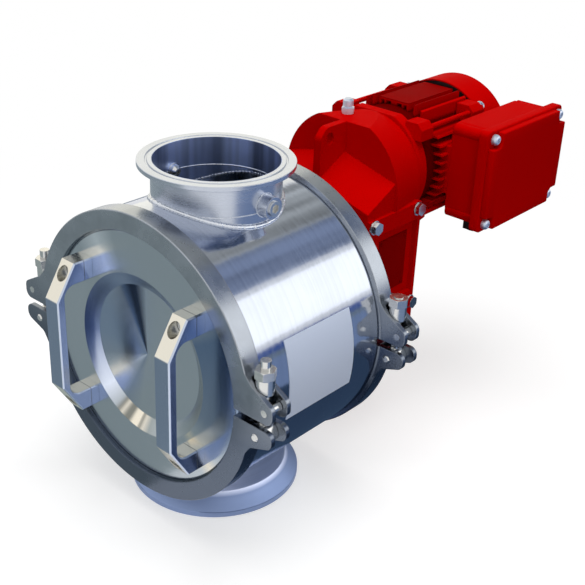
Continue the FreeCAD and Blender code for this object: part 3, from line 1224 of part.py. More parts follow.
def motor_shafts():
    nose = "drum_face + drum_wall + nose_gap"
    step = "lay_gear_y + lay_gear_width + nose_shoulder"
    fan_start = "drum_rear + drive_shield_length + stator_length + rear_shield_length + fan_inset"
    tail = fan_start + " + fan_width + tail_reach"
    shaft = turned([("0", nose), ("motor_nose", nose), ("motor_nose", step), ("motor_shaft_radius", step),
                    ("motor_shaft_radius", tail), ("0", tail)], at=("0", "0", "motor_rise"))
    middle = "drum_rear + drive_shield_length + stator_length / 2"
    low = middle + " - core_length / 2"
    high = middle + " + core_length / 2"
    bore = "motor_shaft_radius + fit_gap"
    core = turned([(bore, low), ("rotor_core_radius", low), ("rotor_core_radius", high), (bore, high)],
                  at=("0", "0", "motor_rise"))
    node(group([shaft, core]), "motor_rotor")
    inner = "rotor_core_radius + core_gap"
    outer = "stator_bore - fit_gap"
    coils = [turned([(inner, low), (outer, low), (outer, high), (inner, high)], at=("0", "0", "motor_rise"))]
    for start, end in ((low, low + " - winding_length"), (high, high + " + winding_length")):
        coils.append(turned([(inner + " + winding_gap", start), (outer + " - winding_gap", start),
                             (outer + " - 2 * winding_gap", end), (inner + " + 2 * winding_gap", end)],
                            at=("0", "0", "motor_rise")))
    node(group(coils), "stator_core")
    first = "drum_rear + shield_floor"
    rear = "drum_rear + drive_shield_length + stator_length + rear_relief"
    bearing("motor", "motor_shaft_radius", "lay_bearing_radius", "lay_bearing_width",
            [(first, "motor_rise"), (rear, "motor_rise")])
    hub_radius = "motor_shaft_radius + fan_hub_wall"
    hub = turned([(bore, fan_start), (hub_radius, fan_start), (hub_radius, fan_start + " + fan_width"),
                  (bore, fan_start + " + fan_width")], at=("0", "0", "motor_rise"))
    root = hub_radius + " - over_cut"
    edge = "fan_radius - fan_disc_inset"
    disc = turned([(root, fan_start), (edge, fan_start), (edge, fan_start + " + fan_sheet"),
                   (root, fan_start + " + fan_sheet")], at=("0", "0", "motor_rise"))
    blades = []
    count = int(number("fan_blades"))
    for k in range(count):
        blade = doc.addObject("Part::Box", "Blade")
        blade.setExpression("Length", bound("fan_radius - (%s)" % root))
        blade.setExpression("Width", bound("fan_width"))
        blade.setExpression("Height", bound("fan_sheet"))
        angle = 360.0 * k / count
        turn = FreeCAD.Rotation(FreeCAD.Vector(0, 1, 0), -angle)
        place(blade, "(%s) * cos(%g)" % (root, angle), fan_start,
              "motor_rise + (%s) * sin(%g)" % (root, angle), turn)
        blades.append(blade)
    node(join([hub, disc] + blades), "fan")


def corner_block(inner, outer_x, outer_z, start, length, x_side, z_side):
    x_pair = sorted(("%d * (%s)" % (x_side, inner), "%d * (%s)" % (x_side, outer_x)), key=number)
    z_pair = sorted(("%d * (%s)" % (z_side, inner), "%d * (%s)" % (z_side, outer_z)), key=number)
    return block((x_pair[0], start, "motor_rise + " + z_pair[0]),
                 (x_pair[1], "%s + (%s)" % (start, length), "motor_rise + " + z_pair[1]))


def shield_ears(start, length):
    """The four corners of an end shield, which the tie rods pass through."""
    blocks = [corner_block("ear_root", "ear_side", "ear_top", start, length, x_side, z_side)
              for x_side in SIDES for z_side in SIDES]
    return common(join(blocks), rod("ear_circle", length, ("0", start, "motor_rise"), "y"))


def tie_rod_places():
    for x_side in SIDES:
        for z_side in SIDES:
            yield ("%d * rod_circle * cos(rod_angle)" % x_side,
                   "motor_rise + %d * rod_circle * sin(rod_angle)" % z_side)


def motor_shields():
    """The two end shields that hold the stator housing, drawn together by tie rods."""
    front = "drum_rear + drive_shield_length"
    rear = front + " + stator_length"
    back = rear + " + rear_shield_length"
    seat = "lay_bearing_radius + fit_gap"
    bore = "motor_shaft_radius + shaft_clear"
    spigot = "drum_rear - case_wall + over_cut"
    floor = "drum_rear + shield_floor"
    centre = ("0", "0", "motor_rise")
    disc = turned([(bore, spigot), ("motor_spigot", spigot), ("motor_spigot", "drum_rear"),
                   ("shield_radius", "drum_rear"), ("shield_radius", front), (seat, front),
                   (seat, floor), (bore, floor)], at=centre)
    soften(disc, "Fillet", "edge_round", circle_at(("shield_radius", "y", "drum_rear")))
    band = block(("-shield_radius", spigot, "motor_rise - shield_top"),
                 ("shield_radius", front, "motor_rise + shield_top"))
    start = "drum_rear + lug_setback"
    ears = shield_ears(start, "drive_shield_length - lug_setback + lug_length")
    depth = "drive_shield_length + lug_length"
    holes = [rod("rod_radius + fit_gap", depth, (x, start + " + rod_floor", z), "y")
             for x, z in tie_rod_places()]
    room = rod("stator_core_radius + lug_room", "2 * lug_length", ("0", front, "motor_rise"), "y")
    node(cut(join([common(disc, band), ears]), holes + [room]), "drive_end_shield")
    floor = rear + " + rear_relief + lay_bearing_width"
    disc = turned([(bore, back), ("stator_core_radius", back), ("stator_core_radius", rear),
                   (seat, rear), (seat, floor), (bore, floor)], at=centre)
    end = back + " - lug_setback"
    ears = shield_ears(rear + " - lug_length", "lug_length + rear_shield_length - lug_setback")
    holes = [rod("rod_radius + fit_gap", "2 * lug_length + rear_shield_length",
                 (x, rear + " - lug_length - over_cut", z), "y") for x, z in tie_rod_places()]
    room = rod("stator_core_radius + lug_room", "2 * lug_length", ("0", rear, "motor_rise"), "-y")
    posts = []
    post_start = rear + " + fin_overhang + lug_room"
    for x, z in on_circle(4, "cowl_radius - cowl_wall - fit_gap - cowl_post", 45):
        posts.append(rod("cowl_post", "rear_shield_length - fin_overhang - lug_room + cowl_lip",
                         (x, post_start, "motor_rise + " + z), "y"))
    thread_root = "cowl_radius - cowl_wall - cowl_post"
    threads = [radial_rod("cowl_screw + fit_gap", "cowl_post + cowl_wall", thread_root,
                          back + " + cowl_screw_inset", "motor_rise", angle)
               for angle in (45, 135, 225, 315)]
    node(cut(join([disc, ears] + posts), holes + [room] + threads), "rear_end_shield")
    rods = []
    for x, z in tie_rod_places():
        length = "%s - (drum_rear + lug_setback + rod_floor + over_cut)" % end
        rods.append(join([rod("rod_radius", length, (x, end, z), "-y"),
                          hexagon("rod_head_flats", "rod_head_height", (x, end, z), "y")]))
    node(group(rods), "tie_rods")


def stator_housing():
    """The ribbed housing of the motor, with a flat pad on top and one behind the terminal box."""
    front = "drum_rear + drive_shield_length"
    rear = front + " + stator_length"
    first = front + " + fin_setback"
    last = rear + " + fin_overhang"
    top = "fin_reach - top_trim"
    half = "fin_thickness / 2"
    pairs = int(number("fin_pairs"))
    fins = []
    for k in range(-pairs, pairs + 1):
        step = "%d * fin_pitch" % k
        fins.append(block(("-fin_reach", first, "motor_rise + %s - %s" % (step, half)),
                          ("fin_reach", last, "motor_rise + %s + %s" % (step, half))))
        if abs(k) > 1:
            fins.append(upright(step, half, first, last, top))
    fins.append(upright("0", "pad_rib_half", first, last, top))
    for side in SIDES:
        fins.append(upright("%d * pad_rib_place" % side, half, first, last, top))
    edge = "2 * fin_pitch + " + half
    for low, high in (("(%s) - top_pad_depth" % top, top), ("-(%s)" % top, "-(%s) + top_pad_depth" % top)):
        fins.append(block(("-(%s)" % edge, first, "motor_rise + " + low),
                          (edge, last, "motor_rise + " + high)))
    envelope = rod("fin_circle", "stator_length + fin_overhang - fin_setback",
                   ("0", first, "motor_rise"), "y")
    overhang = rod("stator_core_radius + lug_room", "2 * fin_overhang", ("0", rear, "motor_rise"), "y")
    fins = cut(common(join(fins), envelope), [overhang])
    core = rod("stator_core_radius", "stator_length", ("0", front, "motor_rise"), "y")
    bore = rod("stator_bore", "stator_length + 2 * over_cut", ("0", front + " - over_cut", "motor_rise"), "y")
    pad = block(("stator_bore / 2", "box_middle - box_half_length", "motor_rise - box_half_height / 2"),
                ("box_inner", rear, "motor_rise + box_half_height / 2"))
    wires = rod("wire_hole", "box_inner", ("stator_bore / 2", "box_middle - box_half_length + wire_inset",
                                           "motor_rise"), "x")
    node(cut(join([core, fins, pad]), [bore, wires]), "stator_housing")


def upright(place_x, half, first, last, top):
    """A fin that stands above and below the stator."""
    return block(("%s - %s" % (place_x, half), first, "motor_rise - (%s)" % top),
                 ("%s + %s" % (place_x, half), last, "motor_rise + " + top))


def fan_cover():
    start = "drum_rear + drive_shield_length + stator_length + rear_shield_length"
    end = start + " + cowl_length"
    inner = "cowl_radius - cowl_wall"
    shape = turned([(inner, start), ("cowl_radius", start), ("cowl_radius", end), ("0", end),
                    ("0", end + " - cowl_wall"), (inner, end + " - cowl_wall")], at=("0", "0", "motor_rise"))
    soften(shape, "Fillet", "cowl_round", circle_at(("cowl_radius", "y", end)))
    soften(shape, "Fillet", "cowl_round - cowl_wall", circle_at((inner, "y", end + " - cowl_wall")))
    holes = []
    for ring, count in enumerate((10, 16, 22, 28, 34), start=1):
        for x, z in on_circle(count, "%d * grille_pitch" % ring):
            at = (x, end + " + cowl_wall", "motor_rise + " + z)
            holes.append(rod("grille_hole", "3 * cowl_wall", at, "-y"))
    screws = []
    for angle in (45, 135, 225, 315):
        where = (start + " + cowl_screw_inset", "motor_rise", angle)
        holes.append(radial_rod("cowl_screw + loose_gap", "cowl_wall + 2 * over_cut", inner + " - over_cut",
                                *where))
        stem = radial_rod("cowl_screw", "cowl_post", "cowl_radius - cowl_post", *where)
        screws.append(join([stem, radial_rod("cowl_head", "cowl_head_height", "cowl_radius", *where)]))
    node(cut(shape, holes), "fan_cover")
    node(group(screws), "fan_cover_screws")


def box_outline(half_length, half_height, extra="0"):
    low_y = "box_middle - %s - (%s)" % (half_length, extra)
    high_y = "box_middle + %s + (%s)" % (half_length, extra)
    low_z = "motor_rise - %s - (%s)" % (half_height, extra)
    high_z = "motor_rise + %s + (%s)" % (half_height, extra)
    return [(low_y, low_z), (high_y, low_z), (high_y, high_z), (low_y, high_z)]


def terminal_box():
    base = prism("YZ", box_outline("box_half_length", "box_half_height"), "box_inner", "box_depth")
    soften(base, "Fillet", "box_corner", runs_along("x"))
    inside = prism("YZ", box_outline("box_half_length", "box_half_height", "-box_wall"),
                   "box_inner + box_wall", "box_depth")
    soften(inside, "Fillet", "box_corner - box_wall", runs_along("x"))
    posts = []
    threads = []
    screws = []
    pads = []
    lid_holes = []
    seat = "box_inner + box_depth"
    under = seat + " + lid_depth - lid_sink"
    for y_side in SIDES:
        for z_side in SIDES:
            y = "box_middle + %d * lid_screw_y" % y_side
            z = "motor_rise + %d * lid_screw_z" % z_side
            posts.append(rod("post_radius", "box_depth - over_cut", ("box_inner + over_cut", y, z), "x"))
            threads.append(rod("screw_radius * m6_share + fit_gap", "post_thread", (seat, y, z), "-x"))
            pads.append(rod("post_radius", "lid_depth - over_cut", (seat, y, z), "x"))
            lid_holes.append(rod("screw_radius * m6_share + loose_gap", "lid_depth + 2 * over_cut",
                                 (seat + " - over_cut", y, z), "x"))
            lid_holes.append(rod("screw_head * m6_share + 4 * loose_gap", "2 * lid_sink", (under, y, z), "x"))
            screws.append(cap_screw((under, y, z), "-x", "lid_depth - lid_sink + post_thread - over_cut",
                                    "m6_share"))
    entry_y = "box_middle - box_half_length / 2"
    under_box = "motor_rise - box_half_height"
    middle_x = "box_inner + box_depth / 2"
    entry = rod("gland_stem + fit_gap", "2 * box_wall", (middle_x, entry_y, under_box + " + 1.5 * box_wall"),
                "-z")
    wires = rod("wire_hole", "2 * box_wall",
                ("box_inner - over_cut", "box_middle - box_half_length + wire_inset", "motor_rise"), "x")
    shell = cut(join([cut(base, [inside])] + posts), threads + [entry, wires])
    node(shell, "terminal_box")
    lid = prism("YZ", box_outline("lid_half_length", "lid_half_height"), seat, "lid_depth")
    soften(lid, "Fillet", "lid_corner", runs_along("x"))
    face = number(seat + " + lid_depth")
    soften(lid, "Fillet", "edge_round",
           lambda edge: all(abs(vertex.Point.x - face) < 1e-4 for vertex in edge.Vertexes))
    hollow = prism("YZ", box_outline("box_half_length", "box_half_height", "-box_wall"),
                   seat + " - over_cut", "lid_recess + over_cut")
    soften(hollow, "Fillet", "box_corner - box_wall", runs_along("x"))
    crest = prism("YZ", box_outline("crest_half_length", "crest_half_height"),
                  seat + " + lid_depth - over_cut", "crest_height + over_cut")
    node(cut(join([cut(lid, [hollow]), crest] + pads), lid_holes), "terminal_box_lid")
    node(group(screws), "terminal_box_screws")
    floor = "box_inner + box_wall"
    board = block((floor, "box_middle - block_half_length", "motor_rise - block_half_height"),
                  (floor + " + block_depth", "box_middle + block_half_length",
                   "motor_rise + block_half_height"))
    studs = []
    for k in SIDES + (0,):
        for side in SIDES:
            at = (floor + " + block_depth", "box_middle + %d * stud_pitch" % k,
                  "motor_rise + %d * stud_rise" % side)
            studs.append(rod("stud_radius", "stud_length", at, "x"))
            studs.append(hexagon("stud_flats", "stud_nut", at, "x"))
    node(join([board] + studs), "terminal_block")
    at = (middle_x, entry_y, under_box)
    collar = hexagon("gland_flats", "gland_length * 0.3", at, "-z")
    crown = hexagon("gland_flats", "gland_length * 0.5", moved(at, "-z", "gland_length * 0.4"), "-z")
    inner_end = under_box + " + box_wall - over_cut"
    stem = rod("gland_stem", "gland_length + box_wall - over_cut", (middle_x, entry_y, inner_end), "-z")
    plug = turned([("0", "-gland_length"), ("gland_stem", "-gland_length"),
                   ("gland_radius", "-gland_length * 0.9"), ("0", "-gland_length * 0.9")], "z", at)
    node(join([collar, crown, stem, plug]), "cable_gland")


def build():
    valve_housing()
    housing_label()
    inlet_spout()
    outlet_spout()
    spray_sockets()
    covers()
    handles()
    for side, end in zip(SIDES, ("front", "rear")):
        clamp_half(side, True, end + "_clamp_upper")
        clamp_half(side, False, end + "_clamp_lower")
    clamp_hardware()
    rotor()
    rotor_shaft()
    shaft_support()
    gear_case()
    gear_case_front()
    gear_case_trim()
    gear_train()
    motor_shafts()
    motor_shields()
    stator_housing()
    fan_cover()
    terminal_box()
    bearing_groups()


def export():
    """Check every object, then write one file for each piece."""
    doc.recompute()
    faults = [thing.Label for thing in doc.Objects if {"Invalid", "Error"} & set(thing.State)]
    if faults:
        raise RuntimeError("failed objects: " + ", ".join(faults))
    for thing in nodes:
        if thing.Shape.isNull() or not thing.Shape.isValid() or not thing.Shape.Solids:
            raise RuntimeError("bad shape: " + thing.Label)
    os.makedirs("parts", exist_ok=True)
    for thing in nodes:
        thing.Shape.exportStep(os.path.join("parts", thing.Label + ".step"))
    print(len(nodes), "pieces,", sum(len(thing.Shape.Solids) for thing in nodes), "solids")


build()
export()
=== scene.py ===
"""Rotary airlock valve: the surfaces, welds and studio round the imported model."""

import json
import math

import bmesh
import bpy
from bpy.props import FloatProperty, FloatVectorProperty, PointerProperty
from mathutils import Matrix, Vector

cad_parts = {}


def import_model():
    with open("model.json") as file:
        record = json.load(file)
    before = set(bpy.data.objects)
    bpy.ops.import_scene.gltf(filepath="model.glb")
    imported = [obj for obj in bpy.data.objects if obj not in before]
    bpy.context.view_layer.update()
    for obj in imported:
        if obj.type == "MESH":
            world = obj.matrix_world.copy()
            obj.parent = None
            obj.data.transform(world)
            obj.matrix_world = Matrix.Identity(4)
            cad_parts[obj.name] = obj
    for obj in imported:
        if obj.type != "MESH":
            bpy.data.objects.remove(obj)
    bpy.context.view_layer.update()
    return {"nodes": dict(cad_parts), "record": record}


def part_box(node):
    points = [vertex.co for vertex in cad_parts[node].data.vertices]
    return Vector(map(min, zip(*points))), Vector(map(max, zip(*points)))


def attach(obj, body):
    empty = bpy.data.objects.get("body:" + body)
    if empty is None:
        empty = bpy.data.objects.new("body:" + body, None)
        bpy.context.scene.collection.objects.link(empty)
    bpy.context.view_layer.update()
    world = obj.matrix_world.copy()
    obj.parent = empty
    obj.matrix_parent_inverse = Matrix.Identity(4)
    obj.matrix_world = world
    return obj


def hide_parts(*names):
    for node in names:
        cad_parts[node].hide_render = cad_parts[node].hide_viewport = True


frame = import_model()

bl_info = {
    "name": "Rotary Airlock Valve",
    "version": (1, 0, 0),
    "blender": (4, 5, 0),
    "location": "View3D > Sidebar > Valve",
    "description": "Dresses a rotary airlock valve with its finishes, welds and studio",
    "category": "Object",
}

NODES = frame["nodes"]
SLOTS = {part["node"]: part["material_slot"] for part in frame["record"]["subparts"]}
MM = 0.001

# The valve: the heights of its two axes, then the sizes of the model that the looks follow. A handle's grip
# and the places of the lid screws are measured from their middle.
ROTOR_HEIGHT = (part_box("rotor_shaft")[0].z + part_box("rotor_shaft")[1].z) / 2
MOTOR_HEIGHT = (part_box("fan_cover")[0].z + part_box("fan_cover")[1].z) / 2
DRUM_RADIUS = 146.4 * MM
INLET_BORE = 62.5 * MM
OUTLET_BORE = 75.0 * MM
DISH_FLOOR = 72.5 * MM
DISH_RIM = 86.75 * MM
HANDLE_WIDTH = 20.5 * MM
HANDLE_EDGE = 1.4 * MM
HANDLE_GRIP = 48.5 * MM
FOOT_HEIGHT = 22.5 * MM
FIN_ROOT = 61.5 * MM
LID_SCREW_Y = 69.0 * MM
LID_SCREW_Z = 50.0 * MM

# The studio: the glow of the floor and the sky, and the tunnel of cards round the rotor axis
FLOOR_NEAR = 0.45
FLOOR_FAR = 1.1
FLOOR_LIFT = 0.58
SKY_LIGHT = 0.3
ARCH_RADIUS = 1.7
ARCH_NEAR = 0.25
ARCH_LENGTH = 4.0

BLACK = (0.0, 0.0, 0.0, 1.0)
WHITE = (1.0, 1.0, 1.0, 1.0)

# The directions that count about an upright axis and about one that runs from front to back
ROUND_UPRIGHT = (1.0, 1.0, 0.0)
ROUND_LEVEL = (1.0, 0.0, 1.0)

# Painted reflection on the turned cover: each thing in the room that it mirrors is drawn out into a wedge
# about the axis and painted into its colour. A stop is an angle in degrees from level and the tone there, and
# the tones between two stops are blended. The flat face, the wall of the dish and its floor lean differently,
# so each has its own stops.
PAINTED_REFLECTIONS = {"plain": "#B5BDC4", "dull": "#A0A8A8", "shadow": "#84857E", "warm": "#DED8CA", "cream": "#F2EAD8",
            "white": "#E8ECF2", "frost": "#E4ECFC", "haze": "#A4AFC0", "mist": "#98A8C0", "steel": "#8C9AAE",
            "blue": "#8090B4", "slate": "#7085A4", "deep": "#323F52"}
FACE_WEDGES = ((-48, "plain"), (-41, "warm"), (-35, "plain"), (-20, "steel"), (30, "slate"), (45, "plain"),
               (107, "plain"), (120, "white"), (134, "plain"))
WALL_WEDGES = ((-180, "blue"), (-135, "frost"), (-120, "plain"), (-116, "shadow"), (-113, "warm"),
               (-109, "shadow"), (-105, "shadow"), (-102, "cream"), (-97, "cream"), (-95, "shadow"),
               (-92, "warm"), (-86, "dull"), (-70, "plain"), (0, "dull"), (90, "mist"), (180, "blue"))
DISH_WEDGES = ((-180, "mist"), (-160, "haze"), (-140, "white"), (-118, "haze"), (-100, "plain"),
               (90, "plain"), (102, "deep"), (109, "deep"), (117, "slate"), (124, "haze"), (154, "mist"))


def linear(text, alpha=None):
    """Linear colour of an sRGB hex value."""
    parts = [int(text[k:k + 2], 16) / 255 for k in (1, 3, 5)]
    values = [v / 12.92 if v <= 0.04045 else ((v + 0.055) / 1.055) ** 2.4 for v in parts]
    return tuple(values) if alpha is None else tuple(values) + (alpha,)


def colour(name, description, text):
    return FloatVectorProperty(name=name, description=description, subtype="COLOR", size=3,
                               min=0.0, max=1.0, default=linear(text))


def length(name, description, millimetres):
    return FloatProperty(name=name, description=description, subtype="DISTANCE", unit="LENGTH",
                         default=millimetres * MM)


class ValveColours(bpy.types.PropertyGroup):
    polished: colour("Polished stainless", "Mirror-ground housing and inlet spout", "#C4CAD6")
    # The inside tone is a painted reflection, brighter and bluer than the steel
    inside: colour("Inside of the inlet", "Drawn and bright-annealed, bluish", "#BCD0FF")
    satin: colour("Satin stainless", "Blasted and ground clamp rings and handles", "#A9AFB7")
    weld: colour("Weld bead", "Wire-brushed weld metal", "#D9DDE4")
    fitting: colour("Bright fittings", "Screws, nuts, pins and plugs", "#D6D6D4")
    zinc: colour("Zinc plating", "Motor's screw heads, breather and handle screws", "#D6DEEC")
    steel: colour("Machined steel", "Shafts, gears and rings inside", "#8E9196")
    enamel: colour("Red enamel", "Paint of the gear unit, motor and nameplate", "#C80000")
    # The lower spout's two tones are painted reflection on one steel: a light bluish neck, a darker flare
    spout: colour("Lower spout", "Buffed neck of the lower spout", "#E0E8FF")
    flare: colour("Lower flare", "Flare of the lower spout, duller than its neck", "#8A9CC2")
    # The four handle tones are painted reflection on one steel, and the edge tone a painted highlight
    slope: colour("Handle slope", "Milled and brushed ends of the handles", "#E6E1D3")
    grip: colour("Handle grip", "Brushed front of the handles", "#97A5BC")
    leg: colour("Handle side", "Side of the handles, as sawn and ground", "#A2B2D8")
    edge_highlight: colour("Handle edge", "Polished chamfers of the handles", "#C0CADC")
    film: colour("Label film", "Blank label on the housing", "#DCE8FF")
    rubber: colour("Seal rubber", "Cover gaskets and lip seal", "#D9DADB")
    moulded: colour("Black plastic", "Fan, caps, gland and terminal block", "#161617")
    floor: colour("Floor", "Pale studio floor", "#C8C8C8")


class ValveSizes(bpy.types.PropertyGroup):
    weld_width: length("Weld width", "Width of the bead round the spout necks", 5.2)
    socket_weld: length("Socket weld", "Width of the bead round the spray sockets", 2.6)
    pipe_seam: length("Pipe seam", "Width of the weld line round the inlet pipe", 1.2)
    seam_width: length("Seam width", "Width of the joint line in each handle leg", 0.5)
    seam_place: length("Seam place", "Front cover to the joint line of a handle leg", 10.0)
    neck_wall: length("Neck wall", "Wall of the inlet and outlet necks", 2.0)
    soft_edge: length("Casting edge", "Rounded edge of the red castings", 1.4)
    fin_edge: length("Fin edge", "Rounded edge of the motor's fins", 0.4)
    lid_flange: length("Lid flange", "Depth of the terminal box lid's flange", 12.0)
    lid_panel: length("Lid panel", "Height of the lid's panel over its flange", 8.5)
    lid_inset: length("Lid step", "Edge of the flange to the panel", 2.4)
    lid_overhang: length("Lid overhang", "Lid above and below its box", 1.5)
    lid_pocket: length("Lid pocket", "Side of the pocket round each lid screw", 16.5)
    lid_corner: length("Lid corner", "Corner radius of the lid's flange", 6.0)
    pocket_corner: length("Pocket corner", "Corner radius of the pockets in the lid's panel", 7.0)
    lid_head: length("Lid screw head", "Radius of a lid screw's head", 6.0)
    cowl_head: length("Cowl screw head", "Radius of a fan cover screw's head", 5.6)
    # The fan cover's sheet ring is painted shade: a dark face in its gap
    shade_ring_width: length("Baffle width", "Width of the sheet ring in the fan cover", 12.5)
    shade_ring_sheet: length("Baffle sheet", "Thickness of the sheet ring in the fan cover", 0.8)


def looks():
    return bpy.context.scene.valve_colours


def sizes():
    return bpy.context.scene.valve_sizes


# Materials

def add(tree, kind, inputs=None, **settings):
    """A shader node with its settings, socket values and links."""
    made = tree.nodes.new(kind)
    for name, value in settings.items():
        setattr(made, name, value)
    for name, value in (inputs or {}).items():
        socket = made.inputs[name]
        if isinstance(value, bpy.types.NodeSocket):
            tree.links.new(value, socket)
        else:
            socket.default_value = value
    return made


def rgba(value, share=1.0):
    """A colour with its alpha, darkened to a share of itself."""
    return tuple(part * share for part in tuple(value)[:3]) + (1.0,)


def blank(name):
    """A material with an empty tree."""
    made = bpy.data.materials.new(name)
    made.use_nodes = True
    made.node_tree.nodes.clear()
    return made, made.node_tree


def covered(tree, values):
    """The surface that a finish ends with."""
    shader = add(tree, "ShaderNodeBsdfPrincipled", values)
    add(tree, "ShaderNodeOutputMaterial", {"Surface": shader.outputs["BSDF"]})


# Marks under about 1 mm don't show in a picture of the whole valve. Grinding lines, blasted grit, turned rings
# and mould grain are 0.1 to 0.3 mm wide in fact, so they are drawn as coarse as each finish says.

def marks(tree, per_metre, detail=4.0):
    """Noise with so many marks per metre: one number, or three where it is drawn out along a grain."""
    place = add(tree, "ShaderNodeTexCoord")
    grain = per_metre if isinstance(per_metre, tuple) else (per_metre, per_metre, per_metre)
    shift = add(tree, "ShaderNodeMapping", {"Vector": place.outputs["Object"], "Scale": grain})
    return add(tree, "ShaderNodeTexNoise", {"Vector": shift.outputs["Vector"], "Scale": 1.0, "Detail": detail,
                                            "Roughness": 0.6}).outputs["Fac"]


def along(tree, axis):
    """One of the Object coordinates."""
    place = add(tree, "ShaderNodeTexCoord")
    return add(tree, "ShaderNodeSeparateXYZ", {"Vector": place.outputs["Object"]}).outputs[axis]


def apart(tree, value, middle):
    """How far a coordinate is from a middle, on either side."""
    offset = add(tree, "ShaderNodeMath", {0: value, 1: middle}, operation="SUBTRACT")
    return add(tree, "ShaderNodeMath", {0: offset.outputs[0]}, operation="ABSOLUTE").outputs[0]


def from_axis(tree, across, height=0.0):
    """The place across an axis at a height, and its distance from the axis."""
    place = add(tree, "ShaderNodeTexCoord")
    flat = add(tree, "ShaderNodeMapping", {"Vector": place.outputs["Object"], "Scale": across,
                                           "Location": (0.0, 0.0, -height)}).outputs["Vector"]
    return flat, add(tree, "ShaderNodeVectorMath", {0: flat}, operation="LENGTH").outputs["Value"]


def blended(tree, source, start, end, before, after, least=0.0):
    """A tone that goes from one to another while a value runs from start to end."""
    step = add(tree, "ShaderNodeMapRange", {"Value": source, "From Min": start, "From Max": end,
                                            "To Min": least, "To Max": 1.0})
    return add(tree, "ShaderNodeMix", {"Factor": step.outputs["Result"], "A": before, "B": after},
               data_type="RGBA").outputs["Result"]


def raised(tree, edge, *layers):
    """Normals that run round each edge, as a hand-broken or cast edge does, with layers of marks on them."""
    normal = add(tree, "ShaderNodeBevel", {"Radius": edge}, samples=4).outputs["Normal"]
    for height, strength, depth in layers:
        normal = add(tree, "ShaderNodeBump", {"Height": height, "Strength": strength, "Distance": depth * MM,
                                              "Normal": normal}).outputs["Normal"]
    return normal


def ground_steel(name, base, grain, roughness, depth, streak=0.04, edge=0.6, wave=0.0, inner=None):
    """Stainless steel with fine parallel grinding marks: long streaks in gloss, a slight bump, soft waves."""
    made, tree = blank(name)
    lines = marks(tree, grain)
    clouds = marks(tree, 14.0, 3.0)
    mottle = add(tree, "ShaderNodeMath", {0: lines, 1: clouds}, operation="MULTIPLY").outputs[0]
    gloss = add(tree, "ShaderNodeMapRange", {"Value": mottle, "From Min": 0.1, "From Max": 0.45,
                                             "To Min": roughness - streak, "To Max": roughness + streak})
    gloss = gloss.outputs["Result"]
    tone = blended(tree, mottle, 0.12, 0.3, rgba(base, 0.9), rgba(base))
    if inner:
        tone, gloss = inner(tree, tone, gloss)
    layers = [(lines, 0.25, depth)]
    if wave:
        swell = marks(tree, tuple(g * 0.1 + 9.0 for g in grain), 2.0)
        layers.insert(0, (swell, 0.5, wave))
    covered(tree, {"Base Color": tone, "Metallic": 1.0, "Roughness": gloss,
                   "Normal": raised(tree, edge * MM, *layers)})
    return made


def polished_round():
    """Housing steel, ground and buffed while turning on the lathe: lines round the drum, drawn 2 mm wide."""
    return ground_steel("polished_stainless_round", looks().polished, (3.0, 500.0, 3.0), 0.13, 0.015,
                        wave=0.5)


def polished_upright(name, base, roughness, inner):
    """Spout steel, buffed round its upright axis: level lines, drawn 2 mm wide."""
    return ground_steel(name, base, (4.0, 4.0, 500.0), roughness, 0.015, inner=inner)


def spout_inside(tree, tone, gloss):
    """The inside of the inlet, a drawn tube, carries a painted reflection: bright and bluish, in upright bands
    about 20 mm wide.
    """
    radius = from_axis(tree, ROUND_UPRIGHT)[1]
    start = INLET_BORE + 0.2 * MM
    end = INLET_BORE + 0.6 * MM
    bands = marks(tree, (45.0, 45.0, 2.0), 2.0)
    # Painted reflection: light and dark bluish bands on the inside of the inlet
    drawn = blended(tree, bands, 0.35, 0.65, rgba(looks().inside, 0.3), rgba(looks().inside))
    shine = add(tree, "ShaderNodeMapRange", {"Value": radius, "From Min": start, "From Max": end,
                                             "To Min": 0.42, "To Max": gloss})
    return blended(tree, radius, start, end, drawn, tone), shine.outputs["Result"]


def spout_flare(tree, tone, gloss):
    """The lower spout's flare carries a painted reflection darker than its neck's."""
    neck = OUTLET_BORE + sizes().neck_wall
    radius = from_axis(tree, ROUND_UPRIGHT)[1]
    return blended(tree, radius, neck + 0.3 * MM, neck + 4.0 * MM, tone, rgba(looks().flare)), gloss


def satin_cast():
    """Investment-cast stainless, blasted: a pebble drawn 1.1 mm wide, soft gloss, and painted shade below the
    axis.
    """
    made, tree = blank("satin_cast_stainless")
    grit = marks(tree, 900.0, 2.0)
    clouds = marks(tree, 30.0)
    gloss = add(tree, "ShaderNodeMapRange", {"Value": clouds, "From Min": 0.3, "From Max": 0.7,
                                             "To Min": 0.2, "To Max": 0.32})
    tone = blended(tree, clouds, 0.35, 0.65, rgba(looks().satin, 0.82), rgba(looks().satin))
    # Painted shade: the rings darken from above the rotor axis to below it
    tone = blended(tree, along(tree, "Z"), ROTOR_HEIGHT - 30.0 * MM, ROTOR_HEIGHT + 60.0 * MM,
                   rgba(looks().grip, 0.36), tone)
    covered(tree, {"Base Color": tone, "Metallic": 1.0, "Roughness": gloss.outputs["Result"],
                   "Normal": raised(tree, 1.3 * MM, (grit, 0.25, 0.06))})
    return made


